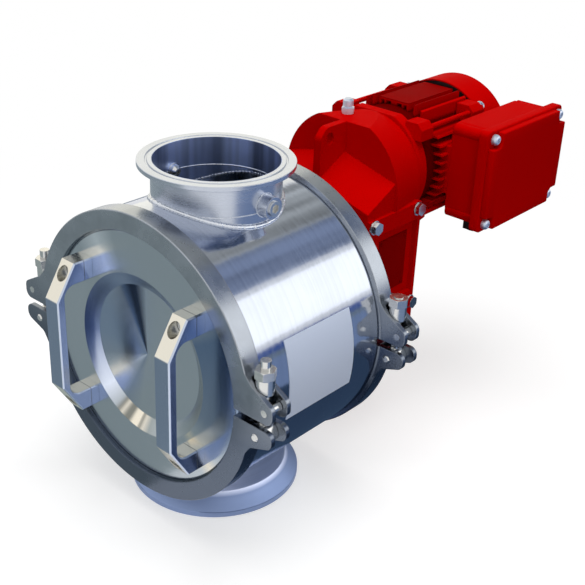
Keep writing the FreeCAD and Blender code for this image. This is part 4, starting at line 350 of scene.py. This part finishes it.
def handle_tone(tree, tone, gloss):
    """The handles' slopes are milled, grips and sides brushed, chamfers polished; their tones are painted
    reflection, with a painted highlight on the chamfers.
    """
    half = HANDLE_WIDTH / 2
    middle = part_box("cover_handles")[1].x - half
    aside = apart(tree, apart(tree, along(tree, "X"), 0.0), middle)
    above = apart(tree, along(tree, "Z"), ROTOR_HEIGHT)
    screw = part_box("handle_screws")[1]
    head = screw.x - middle
    spot = add(tree, "ShaderNodeCombineXYZ", {"X": aside, "Y": above}).outputs["Vector"]
    gap = add(tree, "ShaderNodeVectorMath", {0: spot, 1: (0.0, screw.z - head - ROTOR_HEIGHT, 0.0)},
              operation="DISTANCE").outputs["Value"]
    # Painted reflection: each face of a handle takes the tone that it mirrors, the chamfers a painted
    # highlight
    grip = rgba(looks().grip)
    tone = blended(tree, above, HANDLE_GRIP - MM, HANDLE_GRIP + MM, grip, rgba(looks().slope))
    tone = blended(tree, gap, head + 0.2 * MM, head + 0.4 * MM, grip, tone)
    chamfer = half - HANDLE_EDGE
    tone = blended(tree, aside, chamfer - 0.2 * MM, chamfer, tone, rgba(looks().edge_highlight))
    return blended(tree, aside, half - 0.2 * MM, half - 0.1 * MM, tone, rgba(looks().leg)), gloss


def milled():
    """Handle steel, milled and brushed along its length: upright lines, drawn 2.4 mm wide."""
    return ground_steel("brushed_stainless_handle", looks().satin, (420.0, 420.0, 7.0), 0.24, 0.02, edge=0.7,
                        inner=handle_tone)


def wedges(tree, turn, stops):
    """Painted reflection: the tones that one band of the cover mirrors, painted into its colour by the angle
    about its axis.
    """
    made = add(tree, "ShaderNodeValToRGB", {"Fac": turn})
    band = made.color_ramp
    while len(band.elements) < len(stops):
        band.elements.new(1.0)
    for element, (angle, tone) in zip(band.elements, stops):
        element.position = (angle + 180) / 360
        element.color = linear(PAINTED_REFLECTIONS[tone], 1.0)
    return made.outputs["Color"]


def face_turned():
    """Cover steel, face-turned and polished: rings, drawn 6 mm wide, stretch reflections, and its colour is
    painted reflection in wedges.
    """
    made, tree = blank("face_turned_stainless")
    place, radius = from_axis(tree, ROUND_LEVEL, ROTOR_HEIGHT)
    rings = add(tree, "ShaderNodeTexNoise", {"W": radius, "Scale": 160.0, "Detail": 2.0},
                noise_dimensions="1D")
    gloss = add(tree, "ShaderNodeMapRange", {"Value": rings.outputs["Fac"], "From Min": 0.3, "From Max": 0.7,
                                             "To Min": 0.2, "To Max": 0.25})
    axes = add(tree, "ShaderNodeSeparateXYZ", {"Vector": place})
    angle = add(tree, "ShaderNodeMath", {0: axes.outputs["Z"], 1: axes.outputs["X"]}, operation="ARCTAN2")
    turn = add(tree, "ShaderNodeMapRange", {"Value": angle.outputs[0], "From Min": -math.pi,
                                            "From Max": math.pi}).outputs["Result"]
    # Painted reflection: the dish, its wall and the flat face each take the wedges of tone that they mirror
    tone = wedges(tree, turn, DISH_WEDGES)
    for edge, stops in ((DISH_FLOOR, WALL_WEDGES), (DISH_RIM, FACE_WEDGES)):
        tone = blended(tree, radius, edge - 0.2 * MM, edge + 0.2 * MM, tone, wedges(tree, turn, stops))
    tangent = add(tree, "ShaderNodeTangent", direction_type="RADIAL", axis="Y")
    covered(tree, {"Base Color": tone, "Metallic": 1.0, "Roughness": gloss.outputs["Result"],
                   "Anisotropic": 0.7, "Tangent": tangent.outputs["Tangent"],
                   "Normal": raised(tree, 0.8 * MM)})
    return made


def bright_fitting():
    """Turned stainless fasteners: fine rings, drawn 1.1 mm wide, and a clean gloss."""
    return ground_steel("bright_stainless_fitting", looks().fitting, (60.0, 60.0, 900.0), 0.2, 0.02,
                        0.05, 0.4)


def zinc_plated():
    """Bright zinc on the motor's screw heads: cloudy, softer than stainless."""
    return ground_steel("zinc_plated_steel", looks().zinc, (40.0, 40.0, 40.0), 0.5, 0.02, 0.05, 0.4)


def machined_steel():
    """Plain machined steel of shafts, gears and bearings, lightly oiled: lines drawn 1.4 mm wide."""
    return ground_steel("machined_steel", looks().steel, (80.0, 700.0, 80.0), 0.34, 0.03, 0.06, 0.3)


def rotor_steel():
    """Rotor steel, ground over its vanes: lines drawn 3.3 mm wide, duller than the outside."""
    return ground_steel("ground_rotor_stainless", looks().satin, (300.0, 6.0, 300.0), 0.36, 0.02)


def joint_line():
    """The dark line where a handle leg was welded on and ground flush."""
    return ground_steel("ground_joint_line", rgba(looks().satin, 0.35), (60.0, 60.0, 60.0), 0.4, 0.02,
                        0.05, 0.1)


def red_enamel(name="red_enamel", pebble=380.0, depth=0.12, edge=None, darker_above=None, shaded_within=None):
    """Enamel sprayed over grey cast iron: orange peel over a pebble of about 3 mm, hardly a reflection. Where
    they are given, it is darker above a height and has painted shade between the fins, near the motor's axis."""
    made, tree = blank(name)
    peel = marks(tree, pebble, 3.0)
    clouds = marks(tree, 18.0)
    gloss = add(tree, "ShaderNodeMapRange", {"Value": clouds, "From Min": 0.3, "From Max": 0.7,
                                             "To Min": 0.42, "To Max": 0.55})
    enamel = looks().enamel
    tone = blended(tree, clouds, 0.0, 1.0, rgba(enamel, 0.88), rgba(enamel))
    # Darker above a given height, with the same cloudy variation
    if darker_above is not None:
        darker_tone = blended(tree, clouds, 0.0, 1.0, rgba(enamel, 0.36), rgba(enamel, 0.52))
        tone = blended(tree, along(tree, "Z"), darker_above - 1.2 * MM, darker_above - 0.2 * MM, tone, darker_tone)
    # Painted shade: the enamel goes nearly black down between the fins, near the motor's axis
    if shaded_within is not None:
        radius = from_axis(tree, ROUND_LEVEL, MOTOR_HEIGHT)[1]
        tone = blended(tree, radius, shaded_within, shaded_within + 4.0 * MM, BLACK, tone, 0.12)
    covered(tree, {"Base Color": tone, "Roughness": gloss.outputs["Result"], "Specular IOR Level": 0.002,
                   "Normal": raised(tree, edge or sizes().soft_edge, (peel, 0.3, depth))})
    return made


def grained(name, base, per_metre, detail, gloss, strength, depth, metallic=0.0):
    """A finish whose one even grain varies the gloss and lifts the surface."""
    made, tree = blank(name)
    grain = marks(tree, per_metre, detail)
    shine = add(tree, "ShaderNodeMapRange", {"Value": grain, "From Min": 0.3, "From Max": 0.7,
                                             "To Min": gloss[0], "To Max": gloss[1]})
    bump = add(tree, "ShaderNodeBump", {"Height": grain, "Strength": strength, "Distance": depth * MM})
    covered(tree, {"Base Color": rgba(base), "Metallic": metallic, "Roughness": shine.outputs["Result"],
                   "Normal": bump.outputs["Normal"]})
    return made


def label_film():
    """White vinyl film: slightly uneven, in waves of 17 mm, where it lies on the steel."""
    return grained("white_vinyl_label", looks().film, 60.0, 2.0, (0.3, 0.4), 0.2, 0.1)


def seal_rubber():
    """White food-grade rubber: matt, with a faint grain drawn 1.1 mm wide."""
    return grained("white_seal_rubber", looks().rubber, 900.0, 2.0, (0.7, 0.7), 0.2, 0.05)


def moulded_plastic():
    """Glass-filled black nylon: spark-eroded texture from the mould, drawn 0.8 mm wide."""
    return grained("black_moulded_nylon", looks().moulded, 1200.0, 2.0, (0.45, 0.6), 0.3, 0.05)


def weld_steel():
    """Weld metal, brushed bright after welding: ripples of about 2.4 mm."""
    return grained("brushed_weld", looks().weld, 420.0, 3.0, (0.2, 0.4), 0.6, 0.3, 1.0)


def paint(thing, material):
    """Give a piece one finish."""
    thing.data.materials.clear()
    thing.data.materials.append(material)
    return thing


def dress(material, *names):
    """Give CAD nodes one finish."""
    for name in names:
        paint(NODES[name], material)


def in_slot(slot_name):
    """The CAD nodes that the record gives a slot."""
    return [name for name, slot in SLOTS.items() if slot == slot_name]


# Tools for new pieces

def started(name, primitive, **settings):
    """A new primitive, selected alone and named."""
    bpy.ops.object.select_all(action="DESELECT")
    primitive(**settings)
    made = bpy.context.object
    made.name = name
    made.data.name = name
    return made


def chosen(made, kind, test):
    """Select only the edges or the faces that pass a test, in edit mode."""
    bpy.ops.mesh.select_mode(type={"edges": "EDGE", "faces": "FACE"}[kind])
    bpy.ops.mesh.select_all(action="DESELECT")
    mesh = bmesh.from_edit_mesh(made.data)
    for part in getattr(mesh, kind):
        if test(part):
            part.select_set(True)
    mesh.select_flush_mode()
    bmesh.update_edit_mesh(made.data)


def settled(thing, body):
    """Place the piece in its mesh, face it outward and hang it on its body."""
    bpy.ops.object.select_all(action="DESELECT")
    thing.select_set(True)
    bpy.context.view_layer.objects.active = thing
    bpy.ops.object.transform_apply(location=True, rotation=True, scale=True)
    bpy.ops.object.mode_set(mode="EDIT")
    bpy.ops.mesh.select_all(action="SELECT")
    bpy.ops.mesh.normals_make_consistent(inside=False)
    bpy.ops.object.mode_set(mode="OBJECT")
    bpy.ops.object.shade_smooth_by_angle(angle=math.radians(40.0))
    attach(thing, body)
    return thing


def copied(source, name, place, node):
    """A copy of a screw head with its own mesh, set in its place instead of a CAD node's."""
    made = bpy.data.objects.new(name, source.data.copy())
    made.data.name = name
    bpy.context.scene.collection.objects.link(made)
    made.data.transform(place)
    settled(made, "housing")
    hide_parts(node)


# Pieces

class VALVE_OT_stainless(bpy.types.Operator):
    """Finish the stainless pieces"""
    bl_idname = "valve.stainless"
    bl_label = "Stainless pieces"

    def execute(self, context):
        dress(polished_round(), "valve_housing", "bearing_housing", "rear_cover")
        dress(rotor_steel(), "rotor")
        upper = polished_upright("polished_stainless_upright", looks().polished, 0.27, spout_inside)
        dress(upper, "inlet_spout", "spray_sockets")
        lower = polished_upright("polished_stainless_lower", looks().spout, 0.5, spout_flare)
        dress(lower, "outlet_spout")
        dress(satin_cast(), "front_clamp_upper", "front_clamp_lower", "rear_clamp_upper", "rear_clamp_lower")
        dress(milled(), "cover_handles")
        dress(face_turned(), "front_cover")
        return {"FINISHED"}


def bead(name, radius, width, count, pools, path, material):
    """A weld bead: a ring whose turns follow a path and whose thickness swells at each pool of weld."""
    made = started(name, bpy.ops.mesh.primitive_torus_add, major_radius=radius, minor_radius=width / 2,
                   major_segments=count, minor_segments=10)
    for vertex in made.data.vertices:
        angle = math.atan2(vertex.co.y, vertex.co.x)
        offset = vertex.co - Vector((radius * math.cos(angle), radius * math.sin(angle), 0.0))
        uneven = 0.35 * math.sin(5 * angle)
        swell = 1.0 + 0.3 * (abs(math.sin(angle * pools / 2 + uneven)) - 0.5)
        vertex.co = path(angle) + offset * swell
    settled(paint(made, material), "housing")


def saddle(angle, reach, side):
    """A point where an upright neck meets the drum, above or below the rotor axis."""
    x = reach * math.cos(angle)
    return Vector((x, reach * math.sin(angle), ROTOR_HEIGHT + side * math.sqrt(DRUM_RADIUS ** 2 - x * x)))


class VALVE_OT_welds(bpy.types.Operator):
    """Lay the weld beads round the spouts and the spray sockets"""
    bl_idname = "valve.welds"
    bl_label = "Weld beads"

    def execute(self, context):
        size = sizes()
        metal = weld_steel()
        inlet = INLET_BORE + size.neck_wall
        outlet = OUTLET_BORE + size.neck_wall
        for name, neck, side in (("inlet_weld", inlet, 1), ("outlet_weld", outlet, -1)):
            bead(name, neck, size.weld_width, 360, 110,
                 lambda a, r=neck + 0.4 * MM, s=side: saddle(a, r, s), metal)
        low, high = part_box("spray_sockets")
        socket = (high.y - low.y) / 2
        level = (low.z + high.z) / 2
        for name, side in (("left_socket_weld", -1), ("right_socket_weld", 1)):
            def across(angle, side=side):
                y = socket * math.cos(angle)
                z = socket * math.sin(angle)
                return Vector((side * math.sqrt(inlet ** 2 - y * y), y, level + z))
            bead(name, socket, size.socket_weld, 120, 36, across, metal)
        for name, height, reach in (("inner_seam", level, INLET_BORE),
                                    ("outer_seam", level - 6.0 * MM, inlet)):
            bead(name, reach, size.pipe_seam, 240, 200,
                 lambda a, r=reach, h=height: Vector((r * math.cos(a), r * math.sin(a), h)), metal)
        return {"FINISHED"}


class VALVE_OT_seams(bpy.types.Operator):
    """Mark the ground joint line round each handle leg"""
    bl_idname = "valve.seams"
    bl_label = "Handle seams"

    def execute(self, context):
        low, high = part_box("cover_handles")
        proud = 0.1 * MM
        block = (HANDLE_WIDTH + proud, sizes().seam_width, FOOT_HEIGHT + proud)
        line = joint_line()
        for name, side, end in (("left_upper_seam", -1, 1), ("left_lower_seam", -1, -1),
                                ("right_upper_seam", 1, 1), ("right_lower_seam", 1, -1)):
            place = (side * (high.x - HANDLE_WIDTH / 2), high.y - sizes().seam_place,
                     ROTOR_HEIGHT + end * ((high.z - low.z) / 2 - FOOT_HEIGHT / 2))
            band = started(name, bpy.ops.mesh.primitive_cube_add, size=1.0, location=place, scale=block)
            bpy.ops.object.transform_apply(location=True, rotation=True, scale=True)
            bpy.ops.object.mode_set(mode="EDIT")
            chosen(band, "edges", lambda edge: abs(edge.verts[0].co.y - edge.verts[1].co.y) > 0.9 * block[1])
            bpy.ops.mesh.bevel(offset=HANDLE_EDGE, segments=1)
            bpy.ops.object.mode_set(mode="OBJECT")
            settled(paint(band, line), "housing")
        return {"FINISHED"}


class VALVE_OT_fittings(bpy.types.Operator):
    """Finish screws, nuts, pins, seals and the steel inside"""
    bl_idname = "valve.fittings"
    bl_label = "Fittings and inner steel"

    def execute(self, context):
        dress(bright_fitting(), *in_slot("stainless_fittings"))
        dress(machined_steel(), *in_slot("machined_steel"))
        dress(seal_rubber(), "cover_seals")
        dress(moulded_plastic(), *in_slot("black_plastic"))
        dress(label_film(), "housing_label")
        return {"FINISHED"}


class VALVE_OT_drive(bpy.types.Operator):
    """Paint the gear unit and the motor"""
    bl_idname = "valve.drive"
    bl_label = "Gear unit and motor"

    def execute(self, context):
        size = sizes()
        enamel = red_enamel()
        dress(enamel, *in_slot("red_paint"))
        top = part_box("stator_housing")[1].z
        # The finned housing: painted shade between its fins, and darker at its very top
        finned = red_enamel("red_enamel_finned", 300.0, 0.16, size.fin_edge, top, FIN_ROOT)
        dress(finned, "stator_housing")
        # The nameplate and its rivets: the enamel darker over their whole height
        over = red_enamel("red_enamel_plate", 300.0, 0.1, darker_above=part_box("nameplate")[0].z)
        dress(over, "nameplate", "nameplate_rivets")
        lid(enamel)
        zinc = zinc_plated()
        dress(zinc, "breather_plug", "handle_screws")
        lid_screws(screw_head(size.lid_head, zinc))
        cowl_screws(screw_head(size.cowl_head, zinc))
        shade_ring(moulded_plastic())
        return {"FINISHED"}


def plate(name, at_y, at_z, x):
    """A sheet of nine squares standing across X, with its rows at the given places."""
    made = started(name, bpy.ops.mesh.primitive_grid_add, x_subdivisions=3, y_subdivisions=3, size=3.0)
    for vertex in made.data.vertices:
        vertex.co = (x, at_y[round(vertex.co.x + 1.5)], at_z[round(vertex.co.y + 1.5)])
    return made


def lid(material):
    """The terminal box lid: a flange with a raised, bare panel and a pocket round each screw."""
    size = sizes()
    low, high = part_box("terminal_box_lid")
    seat = low.x + size.lid_flange
    sunk = 0.2 * MM
    near = 0.1 * MM
    for name, margin, start, depth, corner in (
            ("lid_flange", 0.0, low.x, size.lid_flange, size.lid_corner),
            ("lid_panel", size.lid_inset, seat - sunk, size.lid_panel, size.pocket_corner)):
        at_y, at_z = ((first + margin, first + margin + size.lid_pocket,
                       last - margin - size.lid_pocket, last - margin)
                      for first, last in ((low.y, high.y),
                                          (low.z - size.lid_overhang, high.z + size.lid_overhang)))
        made = plate(name, at_y, at_z, start)
        bpy.ops.object.mode_set(mode="EDIT")
        turns = (0, 3)
        if margin:
            chosen(made, "faces", lambda face, ys=at_y, zs=at_z:
                   not ys[1] < face.calc_center_median().y < ys[2]
                   and not zs[1] < face.calc_center_median().z < zs[2])
            bpy.ops.mesh.delete(type="FACE")
            turns = (1, 2)
        bpy.ops.mesh.select_all(action="SELECT")
        bpy.ops.mesh.extrude_region_move(TRANSFORM_OT_translate={"value": (depth, 0.0, 0.0)})
        ridges = [(at_y[k], at_z[n]) for k in turns for n in turns]
        chosen(made, "edges", lambda edge, spots=ridges:
               abs(edge.verts[0].co.x - edge.verts[1].co.x) > MM
               and any(math.dist(edge.verts[0].co.yz, spot) < near for spot in spots))
        bpy.ops.mesh.bevel(offset=corner, segments=6)
        bpy.ops.object.mode_set(mode="OBJECT")
        soften = made.modifiers.new("soft edges", "BEVEL")
        soften.width = size.soft_edge
        soften.segments = 3
        soften.limit_method = "ANGLE"
        soften.angle_limit = math.radians(50.0)
        bpy.ops.object.modifier_apply(modifier=soften.name)
        settled(paint(made, material), "housing")
        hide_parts("terminal_box_lid")


def screw_head(radius, material):
    """A domed screw head with a hexagon socket, facing up."""
    top = radius * 1.1
    flat = 0.01 * MM
    made = started("screw_head", bpy.ops.mesh.primitive_cylinder_add, vertices=36, radius=radius, depth=top,
                   location=(0.0, 0.0, top / 2))
    bpy.ops.object.transform_apply(location=True, rotation=True, scale=True)
    bpy.ops.object.mode_set(mode="EDIT")
    chosen(made, "edges", lambda edge: all(abs(vertex.co.z - top) < flat for vertex in edge.verts))
    bpy.ops.mesh.bevel(offset=radius * 0.55, segments=5)
    chosen(made, "faces", lambda face: len(face.verts) > 6
           and all(abs(vertex.co.z - top) < flat for vertex in face.verts))
    bpy.ops.mesh.inset(thickness=radius * 0.08)
    bpy.ops.mesh.extrude_region_move(TRANSFORM_OT_translate={"value": (0.0, 0.0, -radius * 0.4)})
    bpy.ops.object.mode_set(mode="OBJECT")
    return paint(made, material)


def lid_screws(head):
    """The four screws in the pockets of the terminal box lid."""
    low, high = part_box("terminal_box_lid")
    middle = (low + high) / 2
    outward = Matrix.Rotation(math.radians(90.0), 4, "Y")
    for number, (y, z) in enumerate(((-1, -1), (-1, 1), (1, -1), (1, 1)), 1):
        place = Vector((low.x + sizes().lid_flange, middle.y + y * LID_SCREW_Y, middle.z + z * LID_SCREW_Z))
        copied(head, "lid_screw_%d" % number, Matrix.Translation(place) @ outward, "terminal_box_screws")
    bpy.data.objects.remove(head)


def cowl_screws(head):
    """The four screws round the front edge of the fan cover."""
    low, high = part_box("fan_cover_screws")
    reach = Matrix.Translation((0.0, 0.0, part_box("fan_cover")[1].x - 0.6 * MM))
    for number in range(1, 5):
        turn = Matrix.Rotation(math.radians(135.0 - 90.0 * number), 4, "Y")
        copied(head, "cowl_screw_%d" % number, Matrix.Translation((low + high) / 2) @ turn @ reach,
               "fan_cover_screws")
    bpy.data.objects.remove(head)


def shade_ring(material):
    """A black sheet ring inside the fan cover's open edge: painted shade, a dark face that closes the view
    through the gap.
    """
    low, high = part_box("fan_cover")
    made = started("fan_cover_baffle", bpy.ops.mesh.primitive_circle_add, vertices=96,
                   radius=high.x - 1.6 * MM, fill_type="NGON",
                   location=((low.x + high.x) / 2, low.y + 6.0 * MM, (low.z + high.z) / 2),
                   rotation=(math.radians(90.0), 0.0, 0.0))
    bpy.ops.object.mode_set(mode="EDIT")
    bpy.ops.mesh.select_mode(type="FACE")
    bpy.ops.mesh.select_all(action="SELECT")
    bpy.ops.mesh.inset(thickness=sizes().shade_ring_width)
    bpy.ops.mesh.delete(type="FACE")
    bpy.ops.mesh.select_all(action="SELECT")
    bpy.ops.mesh.extrude_region_move(TRANSFORM_OT_translate={"value": (0.0, sizes().shade_ring_sheet, 0.0)})
    bpy.ops.object.mode_set(mode="OBJECT")
    settled(paint(made, material), "housing")


# Studio

class VALVE_OT_studio(bpy.types.Operator):
    """Set the floor, the light and the camera"""
    bl_idname = "valve.studio"
    bl_label = "Studio"

    def execute(self, context):
        floor()
        world()
        lamps()
        reflections()
        camera()
        context.scene.view_settings.view_transform = "Standard"
        return {"FINISHED"}


def seen_directly(tree):
    """1 where the background is seen by the camera or in metal and glass."""
    path = add(tree, "ShaderNodeLightPath")
    first = add(tree, "ShaderNodeMath", {0: path.outputs["Is Camera Ray"], 1: path.outputs["Is Glossy Ray"]},
                operation="MAXIMUM")
    return add(tree, "ShaderNodeMath", {0: first.outputs[0], 1: path.outputs["Is Transmission Ray"]},
               operation="MAXIMUM").outputs[0]


def floor():
    """A pale floor that runs into the white surroundings and keeps the shadow near the valve."""
    plane = started("floor", bpy.ops.mesh.primitive_plane_add, size=14.0)
    made, tree = blank("pale_floor")
    away = from_axis(tree, ROUND_UPRIGHT)[1]
    near = blended(tree, marks(tree, 40.0, 2.0), 0.3, 0.7, rgba(WHITE, 0.7), rgba(looks().floor), 0.98)
    tone = blended(tree, away, FLOOR_NEAR, FLOOR_FAR, near, BLACK)
    matt = add(tree, "ShaderNodeBsdfDiffuse", {"Color": tone})
    lift = add(tree, "ShaderNodeMapRange", {"Value": away, "From Min": FLOOR_NEAR, "From Max": FLOOR_FAR,
                                            "To Min": FLOOR_LIFT, "To Max": 1.0})
    strength = add(tree, "ShaderNodeMath", {0: seen_directly(tree), 1: lift.outputs["Result"]},
                   operation="MULTIPLY")
    glow = add(tree, "ShaderNodeEmission", {"Color": WHITE, "Strength": strength.outputs[0]})
    both = add(tree, "ShaderNodeAddShader", {0: matt.outputs[0], 1: glow.outputs[0]})
    add(tree, "ShaderNodeOutputMaterial", {"Surface": both.outputs[0]})
    plane.data.materials.append(made)


def world():
    """Plain white surroundings, dimmer as a light than as a backdrop."""
    made = bpy.data.worlds.new("studio")
    bpy.context.scene.world = made
    made.use_nodes = True
    tree = made.node_tree
    tree.nodes.clear()
    strength = add(tree, "ShaderNodeMapRange", {"Value": seen_directly(tree), "To Min": SKY_LIGHT,
                                                "To Max": 1.0})
    sky = add(tree, "ShaderNodeBackground", {"Color": WHITE, "Strength": strength.outputs["Result"]})
    add(tree, "ShaderNodeOutputWorld", {"Surface": sky.outputs[0]})


def lamps():
    """A broad top light and a weaker one from the terminal box side."""
    aim = Vector((0.0, 0.1, 0.2))
    for name, spot, size, watts in (("top light", (0.1, 0.0, 2.2), 1.8, 33.0),
                                    ("side light", (1.7, -1.1, 0.9), 1.2, 7.0)):
        light = bpy.data.lights.new(name, "AREA")
        light.size = size
        light.energy = watts
        lamp = bpy.data.objects.new(name, light)
        bpy.context.scene.collection.objects.link(lamp)
        lamp.location = spot
        lamp.rotation_mode = "QUATERNION"
        lamp.rotation_quaternion = (aim - Vector(spot)).to_track_quat("-Z", "Y")
        lamp.visible_glossy = False


def card(made, tone, strength, streaks):
    """Give a card its tone, plain or with soft streaks as of things standing about the room. Only polished
    metal sees it."""
    material, tree = blank(made.name + "_tone")
    if streaks:
        level = add(tree, "ShaderNodeMapRange", {"Value": marks(tree, (2.6, 0.91, 5.72), 3.0),
                                                 "From Min": 0.35, "From Max": 0.65,
                                                 "To Min": strength * (1.0 - streaks), "To Max": strength})
        strength = level.outputs["Result"]
    glow = add(tree, "ShaderNodeEmission", {"Color": linear(tone, 1.0), "Strength": strength})
    add(tree, "ShaderNodeOutputMaterial", {"Surface": glow.outputs[0]})
    made.data.materials.append(material)
    for flag in ("visible_camera", "visible_diffuse", "visible_shadow", "visible_transmission",
                 "visible_volume_scatter"):
        setattr(made, flag, False)


def tile(name, low, high, tone, strength=1.0, streaks=0.0, height=0.004):
    """A card that lies on the floor between two corners."""
    made = started(name, bpy.ops.mesh.primitive_plane_add, size=1.0,
                   location=((low[0] + high[0]) / 2, (low[1] + high[1]) / 2, height))
    made.scale = (high[0] - low[0], high[1] - low[1], 1.0)
    card(made, tone, strength, streaks)


def arch(name, start, end, tone, strength=1.0, streaks=0.0):
    """A curved card behind the valve, part of a tunnel round the rotor axis, from one angle to another."""
    made = started(name, bpy.ops.mesh.primitive_grid_add, x_subdivisions=24, y_subdivisions=1, size=1.0)
    for vertex in made.data.vertices:
        angle = math.radians(start + (end - start) * (vertex.co.x + 0.5))
        reach = ARCH_NEAR + ARCH_LENGTH * (vertex.co.y + 0.5)
        vertex.co = (ARCH_RADIUS * math.cos(angle), reach, ROTOR_HEIGHT + ARCH_RADIUS * math.sin(angle))
    card(made, tone, strength, streaks)


def reflections():
    """Cards whose reflections shape the polished steel: grey at the left, blue at the right, white above."""
    tile("front card", (-2.2, -2.4), (-0.02, 0.6), "#A2ADAF")
    tile("right card", (0.2, -0.2), (3.0, 3.4), "#8094B8")
    tile("rear card", (-1.2, 0.6), (0.2, 3.0), "#6A7890")
    tile("under card", (-0.3, -0.075), (0.42, 0.6), "#34465E", height=0.006)
    arch("grey arch", -16.0, -2.0, "#7E8C98")
    arch("low arch", -2.0, 3.5, "#3C5EA8", 0.9)
    arch("bright arch", 8.0, 44.5, "#FFFFFF", 1.75)
    arch("dark arch", 49.0, 76.0, "#8C99B4", 1.15, 0.45)
    arch("streaked arch", 76.0, 120.0, "#CDD0CE", 1.3, 0.7)
    arch("warm arch", 122.0, 175.0, "#FFFAEB", 1.35)


def camera():
    """The photograph's viewpoint: a 65.6 mm lens, tipped down by 27.06 degrees and rolled by 2.4."""
    place = Vector((0.6921, -0.6872, 0.7166))
    azimuth = math.radians(40.6)
    elevation = math.radians(27.06)
    roll = math.radians(2.4)
    level = Vector((math.cos(azimuth), math.sin(azimuth), 0.0))
    ahead = Vector((-math.sin(azimuth) * math.cos(elevation), math.cos(azimuth) * math.cos(elevation),
                    -math.sin(elevation)))
    upright = level.cross(ahead)
    right = level * math.cos(roll) + upright * math.sin(roll)
    up = upright * math.cos(roll) - level * math.sin(roll)
    data = bpy.data.cameras.new("camera")
    data.lens = 65.6
    data.sensor_width = 36.0
    data.clip_end = 50.0
    made = bpy.data.objects.new("camera", data)
    bpy.context.scene.collection.objects.link(made)
    made.matrix_world = Matrix.Translation(place) @ Matrix((right, up, -ahead)).transposed().to_4x4()
    bpy.context.scene.camera = made


# Add-on

class VALVE_PT_panel(bpy.types.Panel):
    """The steps that dress the valve"""
    bl_label = "Rotary Airlock Valve"
    bl_space_type = "VIEW_3D"
    bl_region_type = "UI"
    bl_category = "Valve"

    def draw(self, context):
        for step in STEPS:
            self.layout.operator(step.bl_idname)


GROUPS = (ValveColours, ValveSizes)
STEPS = (VALVE_OT_studio, VALVE_OT_stainless, VALVE_OT_welds, VALVE_OT_seams, VALVE_OT_fittings,
         VALVE_OT_drive)
CLASSES = GROUPS + STEPS + (VALVE_PT_panel,)


def register():
    for kind in CLASSES:
        bpy.utils.register_class(kind)
    bpy.types.Scene.valve_colours = PointerProperty(type=ValveColours)
    bpy.types.Scene.valve_sizes = PointerProperty(type=ValveSizes)


def unregister():
    del bpy.types.Scene.valve_sizes
    del bpy.types.Scene.valve_colours
    for kind in reversed(CLASSES):
        bpy.utils.unregister_class(kind)


def main():
    register()
    for step in STEPS:
        group, name = step.bl_idname.split(".")
        getattr(getattr(bpy.ops, group), name)()
    bpy.context.view_layer.update()


if __name__ == "__main__":
    main()
